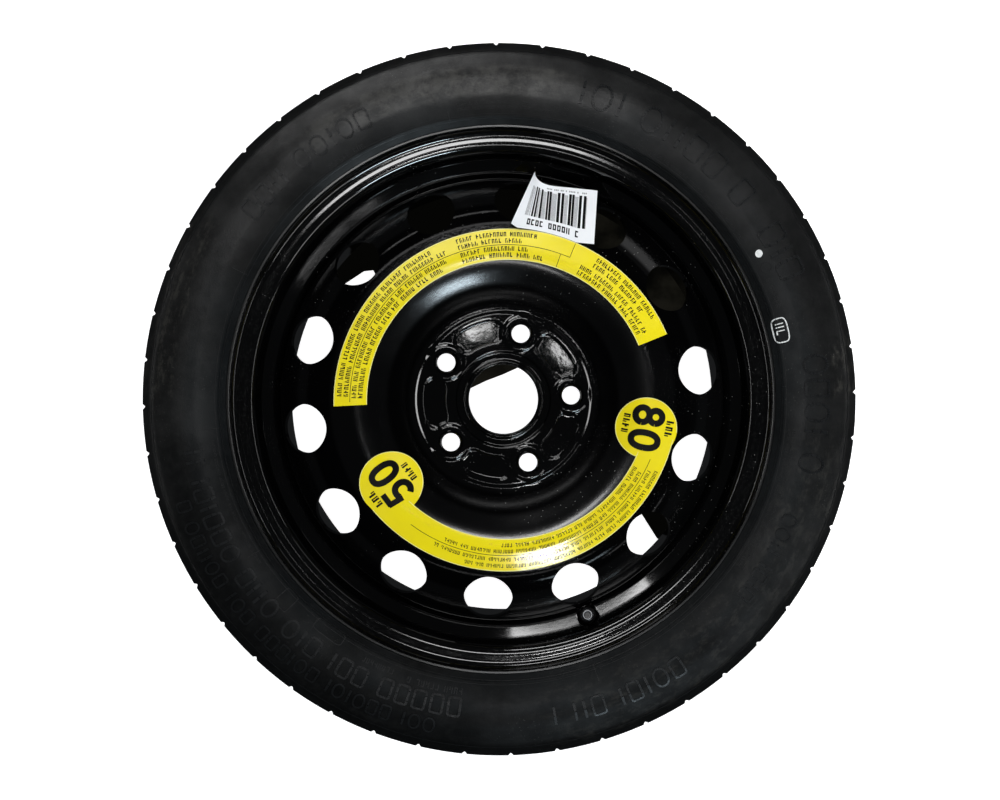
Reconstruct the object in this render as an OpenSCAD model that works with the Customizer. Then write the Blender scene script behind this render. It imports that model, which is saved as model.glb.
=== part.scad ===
// Space saver spare wheel: a narrow temporary tyre on a pressed steel wheel with a snap-in rubber valve.
// Z is the wheel's axis and points out of the wheel's outer face. Z = 0 is the middle of the rim.

/* [Rim] */
// Diameter of the tyre's seat on the rim
rim_d = 405.6; // [384:0.1:432]
// Width between the rim's flanges
rim_w = 88.9; // [82:0.1:102]
// Height of the flanges over the tyre's seat
flange_h = 17.3; // [15:0.1:20]
// Radius of the curl at each flange
flange_curl = 9.5; // [7:0.1:11]
// Thickness of the rim's sheet
rim_t = 2.3; // [1.8:0.1:2.8]
// Depth of the well under the tyre's seat
well_depth = 15.2; // [13:0.1:18]
// Width of the sloping wall between the tyre's seat and the well
wall_w = 9.95; // [9:0.05:11]
// Width of the tyre's seat
seat_w = 20.5; // [19.5:0.1:22]
// Taper of the tyre's seat
seat_angle = 5; // [3:0.5:7]
// Height of the hump that keeps the tyre on its seat
hump_h = 1.1; // [0.5:0.1:1.6]

/* [Disc] */
// Thickness of the disc's sheet
disc_t = 3.5; // [2.8:0.1:4]
// Height of the hub's mounting face over the middle of the rim
wheel_offset = 25.5; // [20:0.5:32]
// Distance from the disc's edge to the end of the well
edge_inset = 2.2; // [1:0.1:4]
// Height of the corner where the edge turns into the sloping web
shoulder_z = 23.2; // [21:0.1:25]
// Slope of the web that holds the vents
web_angle = 26.6; // [22:0.2:30]
// Height of the disc's crown over the middle of the rim
crown_z = 41; // [39:0.5:43]
// Slope of the bowl between the crown and the hub
bowl_angle = 25; // [22:0.5:30]
// Largest radius of the bends in the bowl
bowl_bend = 50; // [30:1:55]
// Number of vents
vent_count = 14; // [10:1:16]
// Diameter of each vent
vent_d = 40; // [30:0.5:42]
// Distance from the disc's edge to the vents' centres
vent_inset = 21.25; // [20:0.25:26]

/* [Hub] */
// Diameter of the centre bore
bore_d = 57.1; // [50:0.1:62]
// Diameter of the bolt circle
pcd = 112; // [108:0.5:120]
// Number of bolt holes
bolt_count = 5; // [4:1:5]
// Diameter of each bolt hole
bolt_d = 15; // [12:0.5:16]
// Radius of the bolts' ball seats
ball_seat_r = 13; // [12.5:0.5:14]
// Wall of the collar round the bore
collar_t = 3; // [2:0.1:3.5]
// Height of the collar over the hub's plate
collar_h = 5.5; // [4:0.5:8]
// Height of the pressed steps in the hub
step_h = 1.3; // [0.8:0.1:1.8]
// Width of the pressed pads between the bolts
pad_w = 18; // [14:0.5:20]
// Half the angle that each pad covers
pad_half_angle = 20; // [14:0.5:21]

/* [Tyre] */
// Height of the tyre over the rim's seat
sidewall_h = 87.9; // [80:0.1:96]
// Reach of each sidewall past the seat's edge
sidewall_bulge = 18.05; // [15.5:0.05:21]
// Width of each rounded shoulder
shoulder_w = 15.5; // [13.5:0.5:20]
// Fall of the tread from its middle to its edges
tread_drop = 2.2; // [1:0.1:4]
// Thickness of the tread and its belts
tread_t = 10; // [8:0.5:12]
// Thickness of the sidewalls
sidewall_t = 6; // [4:0.5:7]
// Width of the bead on the rim's seat
bead_w = 14.4; // [13:0.1:14.4]
// Width of each groove round the tread
groove_w = 5; // [3:0.5:7]
// Depth of each groove round the tread
groove_depth = 4; // [2:0.5:5]
// Spacing of the grooves
groove_pitch = 21; // [16:0.5:24]
// Number of notches round each shoulder
notch_count = 48; // [24:1:60]
// Width of each notch at the tread
notch_w = 5; // [3:0.5:7]
// Depth of each notch
notch_depth = 3; // [1.5:0.5:4]

/* [Valve] */
// Diameter of the valve's hole in the rim
valve_hole_d = 11.3; // [10.5:0.1:11.8]
// Diameter of the flat pressed round the valve's hole
valve_flat_d = 14.8; // [14.4:0.1:15.2]
// Diameter of the valve's brass stem
stem_d = 7.7; // [7.2:0.1:8]
// Length of the stem outside the rim
stem_out = 21; // [19:0.5:24]
// Length of the stem inside the rim
stem_in = 11; // [9:0.5:12]
// Diameter of the valve's cap
cap_d = 10.4; // [10:0.1:11.4]
// Travel of the valve's pin
pin_travel = 1.2; // [0.8:0.1:1.6]

/* [Labels] */
// Width of the yellow bands
band_w = 26; // [20:0.5:28]
// Diameter of the round ends of the lower band
round_end_d = 51; // [44:0.5:54]
// Thickness of the labels' film
film_t = 0.25; // [0.2:0.05:0.4]
// Width of the paper label
paper_w = 68.8; // [60:0.2:72]
// Height of the paper label
paper_h = 46; // [40:0.5:50]

/* [Hidden] */

// Clearances
fit_gap = 0.05;
free_gap = 0.3;
// A cutter reaches this far past what it cuts
past = 1;
// Facets of large and small round shapes
fine = 180;
small = 48;
// Angle that one straight piece of a bend covers
bend_step = 9;

// Rim
seat_r = rim_d / 2;
half_w = rim_w / 2;
flange_r = seat_r + flange_h;
lip_len = 1;
bead_corner_r = 6.5;
seat_bend = 3;
well_bend = 4.5;
hump_w = 3;
hump_foot_bend = 3;
hump_top_bend = rim_t + 1.7;
seat_end_z = half_w - seat_w;
well_r = seat_r - well_depth;
well_half_w = seat_end_z - wall_w;
function seat_radius(z) = seat_r - (half_w - z) * tan(seat_angle);

// Disc
disc_r = well_r - rim_t - fit_gap;
edge_z = edge_inset - well_half_w;
edge_bend = 9;
crown_out_r = disc_r - (crown_z - shoulder_z) / tan(web_angle);
plate_z = wheel_offset + disc_t;
plateau_z = plate_z + step_h;
floor_drop = 0.7;
floor_z = plate_z - floor_drop;
hub_margin = 14.5;
hub_r = pcd / 2 + hub_margin;
step_run = 3;
foot_bend = 1.5;
step_bend = disc_t + 1;
bowl_space = crown_out_r - hub_r - step_run;
floor_run = bowl_space * 0.184;
bowl_in_r = hub_r + step_run + floor_run;
bowl_out_r = bowl_in_r + (crown_z - floor_z) / tan(bowl_angle);
crown_w = crown_out_r - bowl_out_r;
crown_bend = min(30, 0.45 * crown_w / tan(web_angle / 2));
bowl_bend_r = min(bowl_bend, min(0.9 * floor_run, 0.45 * crown_w) / tan(bowl_angle / 2));
bore_r = bore_d / 2;
collar_r = bore_r + collar_t;
collar_foot = 3;
collar_foot_bend = 2.2;
collar_top_bend = 0.8;
bore_top_bend = 0.6;
ring_w = 6.5;
ring_step = 2;
hub_phase = 3.3;
vent_r = disc_r - vent_inset;
vent_z = shoulder_z + vent_inset * tan(web_angle);

// Bolt seats
boss_top_z = plateau_z + step_h;
boss_top_r = 13.5;
boss_base_r = 18;
boss_wall = 1.5;
seat_margin = 2.6;

// Welds between the disc's edge and the rim
weld_count = 6;
weld_angle = 22;
weld_leg = 4;
weld_belly = 0.7;

// Tyre
tyre_r = seat_r + sidewall_h;
half_section = half_w + sidewall_bulge;
half_tread = half_section - shoulder_w;
shoulder_r = tyre_r - tread_drop;
side_span = shoulder_r - flange_r;
shoulder_fall = 4.5;
shoulder_run = 9;
flange_fall = 3.8;
flange_run = 6;
lip_cover = 1.2;
shoulder_bend = 6;
upper_side_bend = 16;
belly_bend = 24;
lower_side_bend = 20;
flange_side_bend = 4;
inner_bend = 14;
crown_inner_bend = 18;
belt_edge_bend = 8;
toe_bend = 1.5;
toe_step = 4;
bead_cover = 6.5;
groove_lip = 0.3;
groove_taper = 0.9;
notch_run = 14;
notch_phase = 0.16;
toe_z = half_w - bead_w;

// Valve
valve_angle = hub_phase - 360 / bolt_count;
valve_tilt = 14;
valve_rise = 7.3;
valve_shift = 3.5;
valve_r = well_r + valve_rise;
valve_z = well_half_w + valve_shift;
bulb_w = 2.2;
bulb_h = 2.6;
neck_w = 0.9;
skirt_inset = 0.5;
skirt_h = 2;
skirt_top_h = 3.4;
body_wall = 1.4;
body_top_wall = 1;
body_shoulder_h = 8.5;
thread_ridge = 1.6;
thread_root = 0.5;
core_bore_d = 5.3;
core_inset = 0.6;
core_top = stem_out - core_inset;
slot_w = 1;
slot_depth = 1.5;
gasket_taper = 0.6;
plug_len = 5;
barrel_d = 3.6;
barrel_bore_d = 2.6;
barrel_top = stem_out - plug_len;
barrel_len = 9.5;
barrel_end = barrel_top - barrel_len;
plug_d = core_bore_d - 2 * fit_gap;
gasket_d = core_bore_d - 2 * fit_gap;
gasket_len = 2;
gasket_top = barrel_top - 2;
pin_d = 0.9;
pin_low = barrel_end - 4;
cup_d = 4;
cup_len = 1.2;
cup_seal_d = 3.8;
cup_seal_t = 0.8;
spring_wire = 0.3;
spring_d = 2;
spring_turns = 6;
pin_collar_t = 0.6;
barrel_floor = 0.8;
cap_len = 11;
cap_overlap = 3.5;
cap_top_t = 2;
cap_bevel = 1.6;
flute_count = 12;
flute_d = 1.2;
flute_out = 0.35;
cap_low = stem_out - cap_len + cap_overlap;
cap_seal_t = 1;
cap_seal_hole_d = 3.4;
cap_top = stem_out + free_gap + cap_seal_t + cap_top_t;

// Labels
band_shift = -4.3;
band_mid_r = (bowl_out_r + crown_out_r) / 2 + band_shift;
band_in_r = band_mid_r - band_w / 2;
band_out_r = band_mid_r + band_w / 2;
upper_shift_x = 4.2;
upper_shift_y = -2;
upper_centre = [upper_shift_x, upper_shift_y];
upper_from = 23;
upper_to = 181.5;
lower_shift_x = 2.4;
lower_shift_y = 1.6;
lower_centre = [lower_shift_x, lower_shift_y];
lower_from = 216.6;
lower_to = 349.1;
left_end_inset = 14;
right_end_inset = 9.3;
paper_angle = 69.5;
paper_turn = -4.7;
paper_left = -48.2;
paper_low = -1.6;
paper_curl_share = 0.5;
paper_curl_in = 15.7;
paper_curl_up = 9.9;
paper_curl_z = 15;
paper_curl_top_share = 0.75;
paper_curl_low_share = 0.4;
paper_columns = 16;
paper_rows = 8;

// Direction and distance helpers
function unit(v) = v / norm(v);
function turned(v) = [-v[1], v[0]];
function reversed(p) = [for (i = [len(p) - 1 : -1 : 0]) p[i]];
function wrapped(a) = a - 360 * floor((a + 180) / 360);

// The points of the round bend of radius r at corner b between points a and c
function bend(a, b, c, r) =
    let (
        u = unit(a - b),
        v = unit(c - b),
        half = acos(u * v) / 2,
        centre = b + unit(u + v) * r / sin(half),
        first = b + u * r / tan(half) - centre,
        last = b + v * r / tan(half) - centre,
        from = atan2(first[1], first[0]),
        sweep = wrapped(atan2(last[1], last[0]) - from),
        n = max(1, ceil(abs(sweep) / bend_step))
    )
    [for (i = [0 : n]) centre + r * [cos(from + sweep * i / n), sin(from + sweep * i / n)]];

// A path through corners, each one [x, y, bend radius]
function at(p, i) = [p[i][0], p[i][1]];
function bent_path(p) = [
    for (i = [0 : len(p) - 1])
        each (p[i][2] == 0 ? [at(p, i)] : bend(at(p, i - 1), at(p, i), at(p, i + 1), p[i][2]))
];

// A path moved sideways by d, to its left for a positive d
function side(p, i) = turned(unit(p[min(i + 1, len(p) - 1)] - p[min(i, len(p) - 2)]));
function moved_path(p, d) = [
    for (i = [0 : len(p) - 1])
        let (a = side(p, max(0, i - 1)), b = side(p, i))
        p[i] + d * (a + b) / (1 + a * b)
];

// The outline of a sheet of thickness t whose one face is path p
function sheet(p, t) = concat(p, reversed(moved_path(p, t)));
function flipped(p) = [for (q = p) [q[0], -q[1], q[2]]];

module wedge_area(from, to, r) {
    steps = ceil((to - from) / 30);
    polygon(concat([[0, 0]], [for (i = [0 : steps]) r * [cos(from + (to - from) * i / steps),
                                                        sin(from + (to - from) * i / steps)]]));
}

// RIM
// Corners of the rim's outer face, from the outer flange's lip to the end of the seat
flange_corners = [
    [flange_r, half_w + flange_curl + lip_len, 0],
    [flange_r, half_w, flange_curl],
    [seat_r, half_w, bead_corner_r],
];
hump_corners = [
    [seat_radius(seat_end_z + 2 * hump_w), seat_end_z + 2 * hump_w, hump_foot_bend],
    [seat_radius(seat_end_z + hump_w) + hump_h, seat_end_z + hump_w, hump_top_bend],
    [seat_radius(seat_end_z), seat_end_z, seat_bend + rim_t],
    [well_r, well_half_w, well_bend],
];
outer_side = concat(flange_corners, hump_corners);
rim_corners = concat(outer_side, reversed(flipped(outer_side)));
rim_face = bent_path(rim_corners);

module at_valve() {
    rotate([0, 0, valve_angle])
        translate([valve_r, 0, valve_z])
            rotate([0, -valve_tilt, 0])
                children();
}

module rim() {
    color([0.05, 0.05, 0.055])
    difference() {
        union() {
            rotate_extrude($fn = fine) polygon(sheet(rim_face, -rim_t));
            valve_pad();
        }
        at_valve() {
            cylinder(d = valve_flat_d, h = well_depth, $fn = small);
            translate([0, 0, -rim_t - past])
                cylinder(d = valve_hole_d, h = rim_t + 2 * past, $fn = small);
        }
    }
}

// The pressed flat under the valve, kept behind the face that shows
module valve_pad() {
    intersection() {
        at_valve()
            translate([0, 0, -rim_t])
                cylinder(d = valve_flat_d + 2 * rim_t, h = rim_t + valve_flat_d / 2, $fn = small);
        rotate_extrude($fn = fine)
            polygon(concat(
                moved_path(rim_face, -rim_t),
                [[seat_r + 2 * rim_t, -half_w], [seat_r + 2 * rim_t, toe_z - 2 * free_gap],
                 [seat_r - rim_t, toe_z - 2 * free_gap]]));
    }
}

// DISC
plate_corners = [
    [disc_r, edge_z, 0],
    [disc_r, shoulder_z, edge_bend],
    [crown_out_r, crown_z, crown_bend],
    [bowl_out_r, crown_z, bowl_bend_r],
    [bowl_in_r, floor_z, bowl_bend_r],
    [hub_r + step_run, floor_z, foot_bend],
    [hub_r, plateau_z, step_bend],
    [collar_r + ring_w + ring_step, plateau_z, step_bend],
    [collar_r + ring_w, plate_z, foot_bend],
    [collar_r + collar_foot, plate_z, 0],
];
disc_face = bent_path(plate_corners);
collar_corners = [
    [collar_r + collar_foot, plate_z, 0],
    [collar_r, plate_z, collar_foot_bend],
    [collar_r, plate_z + collar_h, collar_top_bend],
    [bore_r + collar_t / 2, plate_z + collar_h, 0],
    [bore_r, plate_z + collar_h, bore_top_bend],
    [bore_r, wheel_offset, foot_bend],
    [collar_r + collar_foot, wheel_offset, 0],
];

module disc() {
    color([0.05, 0.05, 0.055])
    difference() {
        union() {
            rotate_extrude($fn = fine)
                polygon(concat(
                    disc_face,
                    bent_path(collar_corners),
                    reversed(moved_path(disc_face, disc_t))));
            bolt_bosses();
            pads(wheel_offset, wheel_offset + step_h + disc_t / 4);
        }
        pads(plate_z, plateau_z + past);
        bolt_holes();
        vents();
    }
}

// The rounded outline of one pad between two bolts
function pad_outline() =
    let (
        mid = pcd / 2,
        half = pad_w / 2,
        cut = pad_half_angle - asin(pad_w / 2 / mid),
        ends = 5
    )
    concat(
        [for (i = [0 : 8]) (mid + half) * [cos(cut * (i / 4 - 1)), sin(cut * (i / 4 - 1))]],
        [for (i = [1 : ends]) mid * [cos(cut), sin(cut)] + half * [cos(cut + 180 * i / (ends + 1)),
                                                                    sin(cut + 180 * i / (ends + 1))]],
        [for (i = [8 : -1 : 0]) (mid - half) * [cos(cut * (i / 4 - 1)), sin(cut * (i / 4 - 1))]],
        [for (i = [1 : ends]) mid * [cos(cut), -sin(cut)] + half * [cos(180 - cut + 180 * i / (ends + 1)),
                                                                     sin(180 - cut + 180 * i / (ends + 1))]]
    );

module pads(low, high) {
    for (i = [0 : bolt_count - 1])
        rotate([0, 0, hub_phase + (i + 0.5) * 360 / bolt_count])
            translate([0, 0, low])
                linear_extrude(high - low)
                    polygon(pad_outline());
}

module at_bolts() {
    for (i = [0 : bolt_count - 1])
        rotate([0, 0, hub_phase + i * 360 / bolt_count])
            translate([pcd / 2, 0, 0])
                children();
}

module bolt_bosses() {
    at_bolts()
        translate([0, 0, floor_z - past])
            cylinder(r1 = boss_base_r, r2 = boss_top_r, h = boss_top_z - floor_z + past, $fn = small);
}

module bolt_holes() {
    seat_top_r = bolt_d / 2 + seat_margin;
    ball_z = boss_top_z + sqrt(ball_seat_r * ball_seat_r - seat_top_r * seat_top_r);
    back_slope = (boss_base_r - boss_top_r) / (boss_top_z - floor_z + past);
    dish_h = boss_top_z - disc_t - wheel_offset + past;
    dish_top_r = boss_top_r - boss_wall;
    at_bolts() {
        translate([0, 0, wheel_offset - past])
            cylinder(d = bolt_d, h = disc_t + 4 * step_h + 2 * past, $fn = small);
        translate([0, 0, ball_z])
            sphere(r = ball_seat_r, $fn = small);
        translate([0, 0, wheel_offset - past])
            cylinder(r1 = dish_top_r + dish_h * back_slope, r2 = dish_top_r, h = dish_h, $fn = small);
    }
}

module vents() {
    for (i = [0 : vent_count - 1])
        rotate([0, 0, valve_angle + i * 360 / vent_count])
            translate([vent_r, 0, vent_z])
                rotate([0, web_angle, 0])
                    translate([0, 0, -2 * disc_t - past])
                        cylinder(d = vent_d, h = 4 * disc_t, $fn = small);
}

module weld_beads() {
    weld_r = well_r - rim_t - fit_gap;
    color([0.09, 0.09, 0.1])
    for (i = [0 : weld_count - 1])
        rotate([0, 0, valve_angle + (i + 0.5) * 360 / weld_count - weld_angle / 2])
            rotate_extrude(angle = weld_angle, $fn = fine)
                polygon([
                    [weld_r, edge_z - fit_gap],
                    [weld_r - disc_t, edge_z - fit_gap],
                    [weld_r - weld_belly * disc_t, edge_z - weld_belly * weld_leg],
                    [weld_r, edge_z - weld_leg],
                ]);
}

// TYRE
seat_path = bent_path(concat(flange_corners, [[seat_radius(toe_z), toe_z, 0]]));
bead_path = moved_path(seat_path, fit_gap);
// Corners of the outside, from the middle of the tread to the rim's flange
outside_corners = [
    [shoulder_r, half_tread, shoulder_bend],
    [shoulder_r - shoulder_run, half_section - shoulder_fall, upper_side_bend],
    [shoulder_r - 0.41 * side_span, half_section, belly_bend],
    [flange_r + 0.32 * side_span, half_section, lower_side_bend],
    [flange_r + flange_run, half_section - flange_fall, flange_side_bend],
    [flange_r + flange_run / 3, half_w + flange_curl + lip_len + lip_cover, 1],
    [flange_r + fit_gap, half_w + flange_curl + lip_len, 0],
];
// Corners of the inside, from the bead's toe to the middle of the tread
inside_corners = [
    [seat_radius(toe_z) + fit_gap, toe_z, 0],
    [seat_radius(toe_z) + toe_step, toe_z, toe_bend],
    [flange_r - toe_step, half_w - bead_cover, inner_bend],
    [flange_r + 0.19 * side_span, half_section - sidewall_t, inner_bend],
    [tyre_r - tread_t - 0.2 * side_span, half_section - sidewall_t, crown_inner_bend],
    [tyre_r - tread_t - tread_drop, half_tread - 1, belt_edge_bend],
    [tyre_r - tread_t, 0, 0],
];
tread_steps = 6;
tread_path = [for (i = [0 : tread_steps - 1])
    let (share = i / tread_steps)
    [tyre_r - tread_drop * share * share, half_tread * share, 0]];
outside = bent_path(concat([tread_path[tread_steps - 1]], outside_corners));
half_tyre = concat([for (q = tread_path) [q[0], q[1]]], [for (i = [1 : len(outside) - 1]) outside[i]],
                   bead_path, bent_path(inside_corners));
function mirrored(p) = [for (q = p) [q[0], -q[1]]];

module tyre() {
    color([0.13, 0.13, 0.135])
    difference() {
        rotate_extrude($fn = fine)
            polygon(concat(half_tyre, reversed(mirrored([for (i = [1 : len(half_tyre) - 2]) half_tyre[i]]))));
        tread_grooves();
        shoulder_notches();
    }
}

module tread_grooves() {
    top_w = groove_w + 2 * groove_lip;
    foot_w = top_w - 2 * groove_taper;
    for (i = [-1 : 1])
        rotate_extrude($fn = fine)
            translate([tyre_r, i * groove_pitch])
                polygon([
                    [past, top_w / 2], [past, -top_w / 2],
                    [-groove_depth, -foot_w / 2], [-groove_depth, foot_w / 2],
                ]);
}

module shoulder_notches() {
    reach = shoulder_w + notch_run;
    top_r = past + tread_drop;
    for (s = [-1, 1], i = [0 : notch_count - 1])
        rotate([0, 0, (i + notch_phase) * 360 / notch_count])
            translate([shoulder_r, 0, s * (half_tread - notch_run + reach / 2)])
                linear_extrude(reach, center = true)
                    polygon([[-notch_depth, 0], [top_r, notch_w * 0.8], [top_r, -notch_w * 0.8]]);
}

// VALVE
module valve_body() {
    hole_r = valve_hole_d / 2 - fit_gap;
    stem_hole_r = stem_d / 2 + fit_gap;
    skirt_r = valve_flat_d / 2 - skirt_inset;
    outline = [
        [stem_hole_r, -stem_in - past],
        [hole_r, -stem_in - past],
        [hole_r + bulb_w, -rim_t - bulb_h],
        [hole_r + neck_w, -rim_t - fit_gap],
        [hole_r, -rim_t - fit_gap],
        [hole_r, fit_gap],
        [skirt_r, fit_gap],
        [skirt_r, skirt_h],
        [skirt_r - neck_w, skirt_top_h],
        [stem_d / 2 + body_wall, body_shoulder_h],
        [stem_d / 2 + body_top_wall, cap_low - free_gap],
        [stem_hole_r, cap_low - free_gap],
    ];
    color([0.07, 0.07, 0.07]) at_valve() rotate_extrude($fn = small) polygon(outline);
}

module valve_stem() {
    color([0.78, 0.6, 0.3]) at_valve()
    difference() {
        union() {
            translate([0, 0, -stem_in]) cylinder(d = stem_d, h = stem_in + cap_low, $fn = small);
            translate([0, 0, cap_low])
                cylinder(d = stem_d - thread_root, h = stem_out - cap_low, $fn = small);
            thread_ridges();
        }
        translate([0, 0, barrel_end - past])
            cylinder(d = core_bore_d, h = stem_out - barrel_end + 2 * past, $fn = small);
        translate([0, 0, -stem_in - past])
            cylinder(d = cup_d + 2 * free_gap, h = stem_in + barrel_end + past, $fn = small);
    }
}

// Rings stand in for the thread under the cap
module thread_ridges() {
    for (z = [cap_low + thread_ridge : thread_ridge : stem_out - thread_ridge])
        translate([0, 0, z]) cylinder(d = stem_d, h = thread_ridge / 2, $fn = small);
}

module core_plug() {
    color([0.8, 0.64, 0.34]) at_valve()
    translate([0, 0, barrel_top + fit_gap])
        difference() {
            cylinder(d = plug_d, h = core_top - barrel_top, $fn = small);
            translate([0, 0, -past])
                cylinder(d = barrel_bore_d, h = core_top - barrel_top + 2 * past, $fn = small);
            translate([-plug_d, -slot_w / 2, core_top - barrel_top - slot_depth])
                cube([2 * plug_d, slot_w, slot_depth + past]);
        }
}

module core_barrel() {
    color([0.8, 0.64, 0.34]) at_valve()
    translate([0, 0, barrel_end])
        difference() {
            cylinder(d = barrel_d, h = barrel_len, $fn = small);
            translate([0, 0, barrel_floor])
                cylinder(d = barrel_bore_d, h = barrel_len, $fn = small);
            translate([0, 0, -past])
                cylinder(d = pin_d + 2 * free_gap, h = barrel_floor + 2 * past, $fn = small);
        }
}

module core_gasket() {
    color([0.9, 0.9, 0.88]) at_valve()
    translate([0, 0, gasket_top - gasket_len])
        difference() {
            cylinder(d1 = gasket_d - gasket_taper, d2 = gasket_d, h = gasket_len, $fn = small);
            translate([0, 0, -past])
                cylinder(d = barrel_d + 2 * fit_gap, h = gasket_len + 2 * past, $fn = small);
        }
}

spring_low = barrel_end + barrel_floor + fit_gap;
spring_high = core_top - pin_travel - 3;

module core_pin() {
    color([0.75, 0.75, 0.77]) at_valve() {
        translate([0, 0, pin_low]) cylinder(d = pin_d, h = core_top - pin_low, $fn = small);
        translate([0, 0, spring_high + fit_gap])
            cylinder(d = barrel_bore_d - 2 * free_gap, h = pin_collar_t, $fn = small);
    }
}

// The cup hangs under the barrel, with its seal on top
cup_top = barrel_end - fit_gap - cup_seal_t;

module core_cup() {
    color([0.8, 0.64, 0.34]) at_valve()
    difference() {
        translate([0, 0, cup_top - cup_len]) cylinder(d = cup_d, h = cup_len - fit_gap, $fn = small);
        translate([0, 0, cup_top - cup_len - past])
            cylinder(d = pin_d + 2 * fit_gap, h = cup_len + 2 * past, $fn = small);
    }
}

module core_cup_seal() {
    color([0.1, 0.1, 0.1]) at_valve()
    difference() {
        translate([0, 0, cup_top]) cylinder(d = cup_seal_d, h = cup_seal_t, $fn = small);
        translate([0, 0, cup_top - past])
            cylinder(d = pin_d + 2 * fit_gap, h = cup_seal_t + 2 * past, $fn = small);
    }
}

// A coil of round wire, swept as rings of eight points
module core_spring() {
    sides = 8;
    rings = spring_turns * 10;
    low = spring_low + spring_wire / 2;
    high = spring_high - spring_wire / 2;
    coil_r = (spring_d - spring_wire) / 2;
    points = [
        for (i = [0 : rings], j = [0 : sides - 1])
            let (turn = 360 * spring_turns * i / rings, a = 360 * j / sides,
                 r = coil_r + spring_wire / 2 * cos(a))
            [r * cos(turn), r * sin(turn), low + (high - low) * i / rings + spring_wire / 2 * sin(a)]
    ];
    walls = [
        for (i = [0 : rings - 1], j = [0 : sides - 1])
            let (a = i * sides, b = a + sides, k = (j + 1) % sides)
            [a + j, a + k, b + k, b + j]
    ];
    ends = [
        [for (j = [sides - 1 : -1 : 0]) j],
        [for (j = [0 : sides - 1]) rings * sides + j],
    ];
    color([0.75, 0.75, 0.77]) at_valve() polyhedron(points, concat(walls, ends));
}

module valve_cap() {
    bore_top = stem_out + free_gap + cap_seal_t;
    color([0.06, 0.06, 0.06]) at_valve()
    difference() {
        union() {
            translate([0, 0, cap_low])
                cylinder(d = cap_d, h = cap_top - cap_low - cap_bevel, $fn = small);
            translate([0, 0, cap_top - cap_bevel])
                cylinder(d1 = cap_d, d2 = cap_d - 2 * cap_bevel, h = cap_bevel, $fn = small);
        }
        translate([0, 0, cap_low - past])
            cylinder(d = stem_d + 2 * free_gap, h = bore_top - cap_low + past, $fn = small);
        cap_flutes();
    }
}

module cap_flutes() {
    for (i = [0 : flute_count - 1])
        rotate([0, 0, (i + 0.5) * 360 / flute_count])
            translate([cap_d / 2 + flute_out, 0, cap_low - past])
                cylinder(d = flute_d, h = cap_top - cap_low - cap_bevel, $fn = small / 3);
}

module valve_cap_seal() {
    color([0.2, 0.08, 0.06]) at_valve()
    translate([0, 0, stem_out + free_gap])
        difference() {
            cylinder(d = stem_d + 2 * free_gap - 2 * fit_gap, h = cap_seal_t - fit_gap, $fn = small);
            translate([0, 0, -past]) cylinder(d = cap_seal_hole_d, h = cap_seal_t + 2 * past, $fn = small);
        }
}

// LABELS
label_face = moved_path(bent_path([
    [hub_r + step_run + 2, floor_z, 0],
    [bowl_in_r, floor_z, bowl_bend_r],
    [bowl_out_r, crown_z, bowl_bend_r],
    [crown_out_r, crown_z, crown_bend],
    [vent_r, vent_z, 0],
]), fit_gap);

module film() {
    rotate_extrude($fn = fine) polygon(sheet(label_face, film_t));
}

module band_area(from, to) {
    intersection() {
        difference() {
            circle(r = band_out_r, $fn = fine);
            circle(r = band_in_r, $fn = fine);
        }
        wedge_area(from, to, 2 * band_out_r);
    }
}

module label_cut() {
    linear_extrude(crown_z + 10 * film_t) children();
}

module upper_label() {
    color([0.93, 0.84, 0.13])
    intersection() {
        film();
        label_cut() translate(upper_centre) band_area(upper_from, upper_to);
    }
}

module round_end(angle, r) {
    rotate([0, 0, angle])
        translate([r, 0])
            circle(d = round_end_d, $fn = fine);
}

module lower_label() {
    color([0.93, 0.84, 0.13])
    intersection() {
        film();
        label_cut() {
            translate(lower_centre) band_area(lower_from, lower_to);
            round_end(lower_from, band_mid_r - left_end_inset);
            round_end(lower_to, band_mid_r - right_end_inset);
        }
    }
}

// The paper label: one corner curls up, and the rest bridges from the crown over the web
paper_anchor = upper_centre + band_out_r * [cos(paper_angle), sin(paper_angle)];
arc_centre = upper_centre - paper_anchor;
arc_local = [
    arc_centre[0] * cos(paper_turn) + arc_centre[1] * sin(paper_turn),
    arc_centre[1] * cos(paper_turn) - arc_centre[0] * sin(paper_turn),
];
function curl(u) = pow(max(0, 1 - u / paper_curl_share), 2);
function paper_bottom(a, u) = max(
    paper_low + paper_curl_up * curl(u),
    arc_local[1] + sqrt(pow(band_out_r + free_gap, 2) - pow(a - arc_local[0], 2)));
function paper_flat(u, v) =
    let (
        a = paper_left + paper_w * u,
        low = paper_bottom(a, u),
        high = paper_low + paper_h + paper_curl_top_share * paper_curl_up * curl(u)
    )
    [a + paper_curl_in * v * curl(u), low + (high - low) * v];
bend_from = crown_out_r - crown_bend * tan(web_angle / 2);
bend_to = bend_from + crown_bend * sin(web_angle / 2);
function paper_drop(r) =
    let (inside = min(max(r, bend_from), bend_to) - bend_from)
    crown_bend - sqrt(crown_bend * crown_bend - inside * inside) + max(0, r - bend_to) * tan(web_angle / 2);
function paper_lift(u, v) = paper_curl_z * curl(u) * (paper_curl_low_share * (1 - v) + v);
function paper_point(u, v, h) =
    let (
        q = paper_flat(u, v),
        x = paper_anchor[0] + q[0] * cos(paper_turn) - q[1] * sin(paper_turn),
        y = paper_anchor[1] + q[0] * sin(paper_turn) + q[1] * cos(paper_turn)
    )
    [x, y, crown_z + free_gap - paper_drop(norm([x, y])) + paper_lift(u, v) + h];

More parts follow.
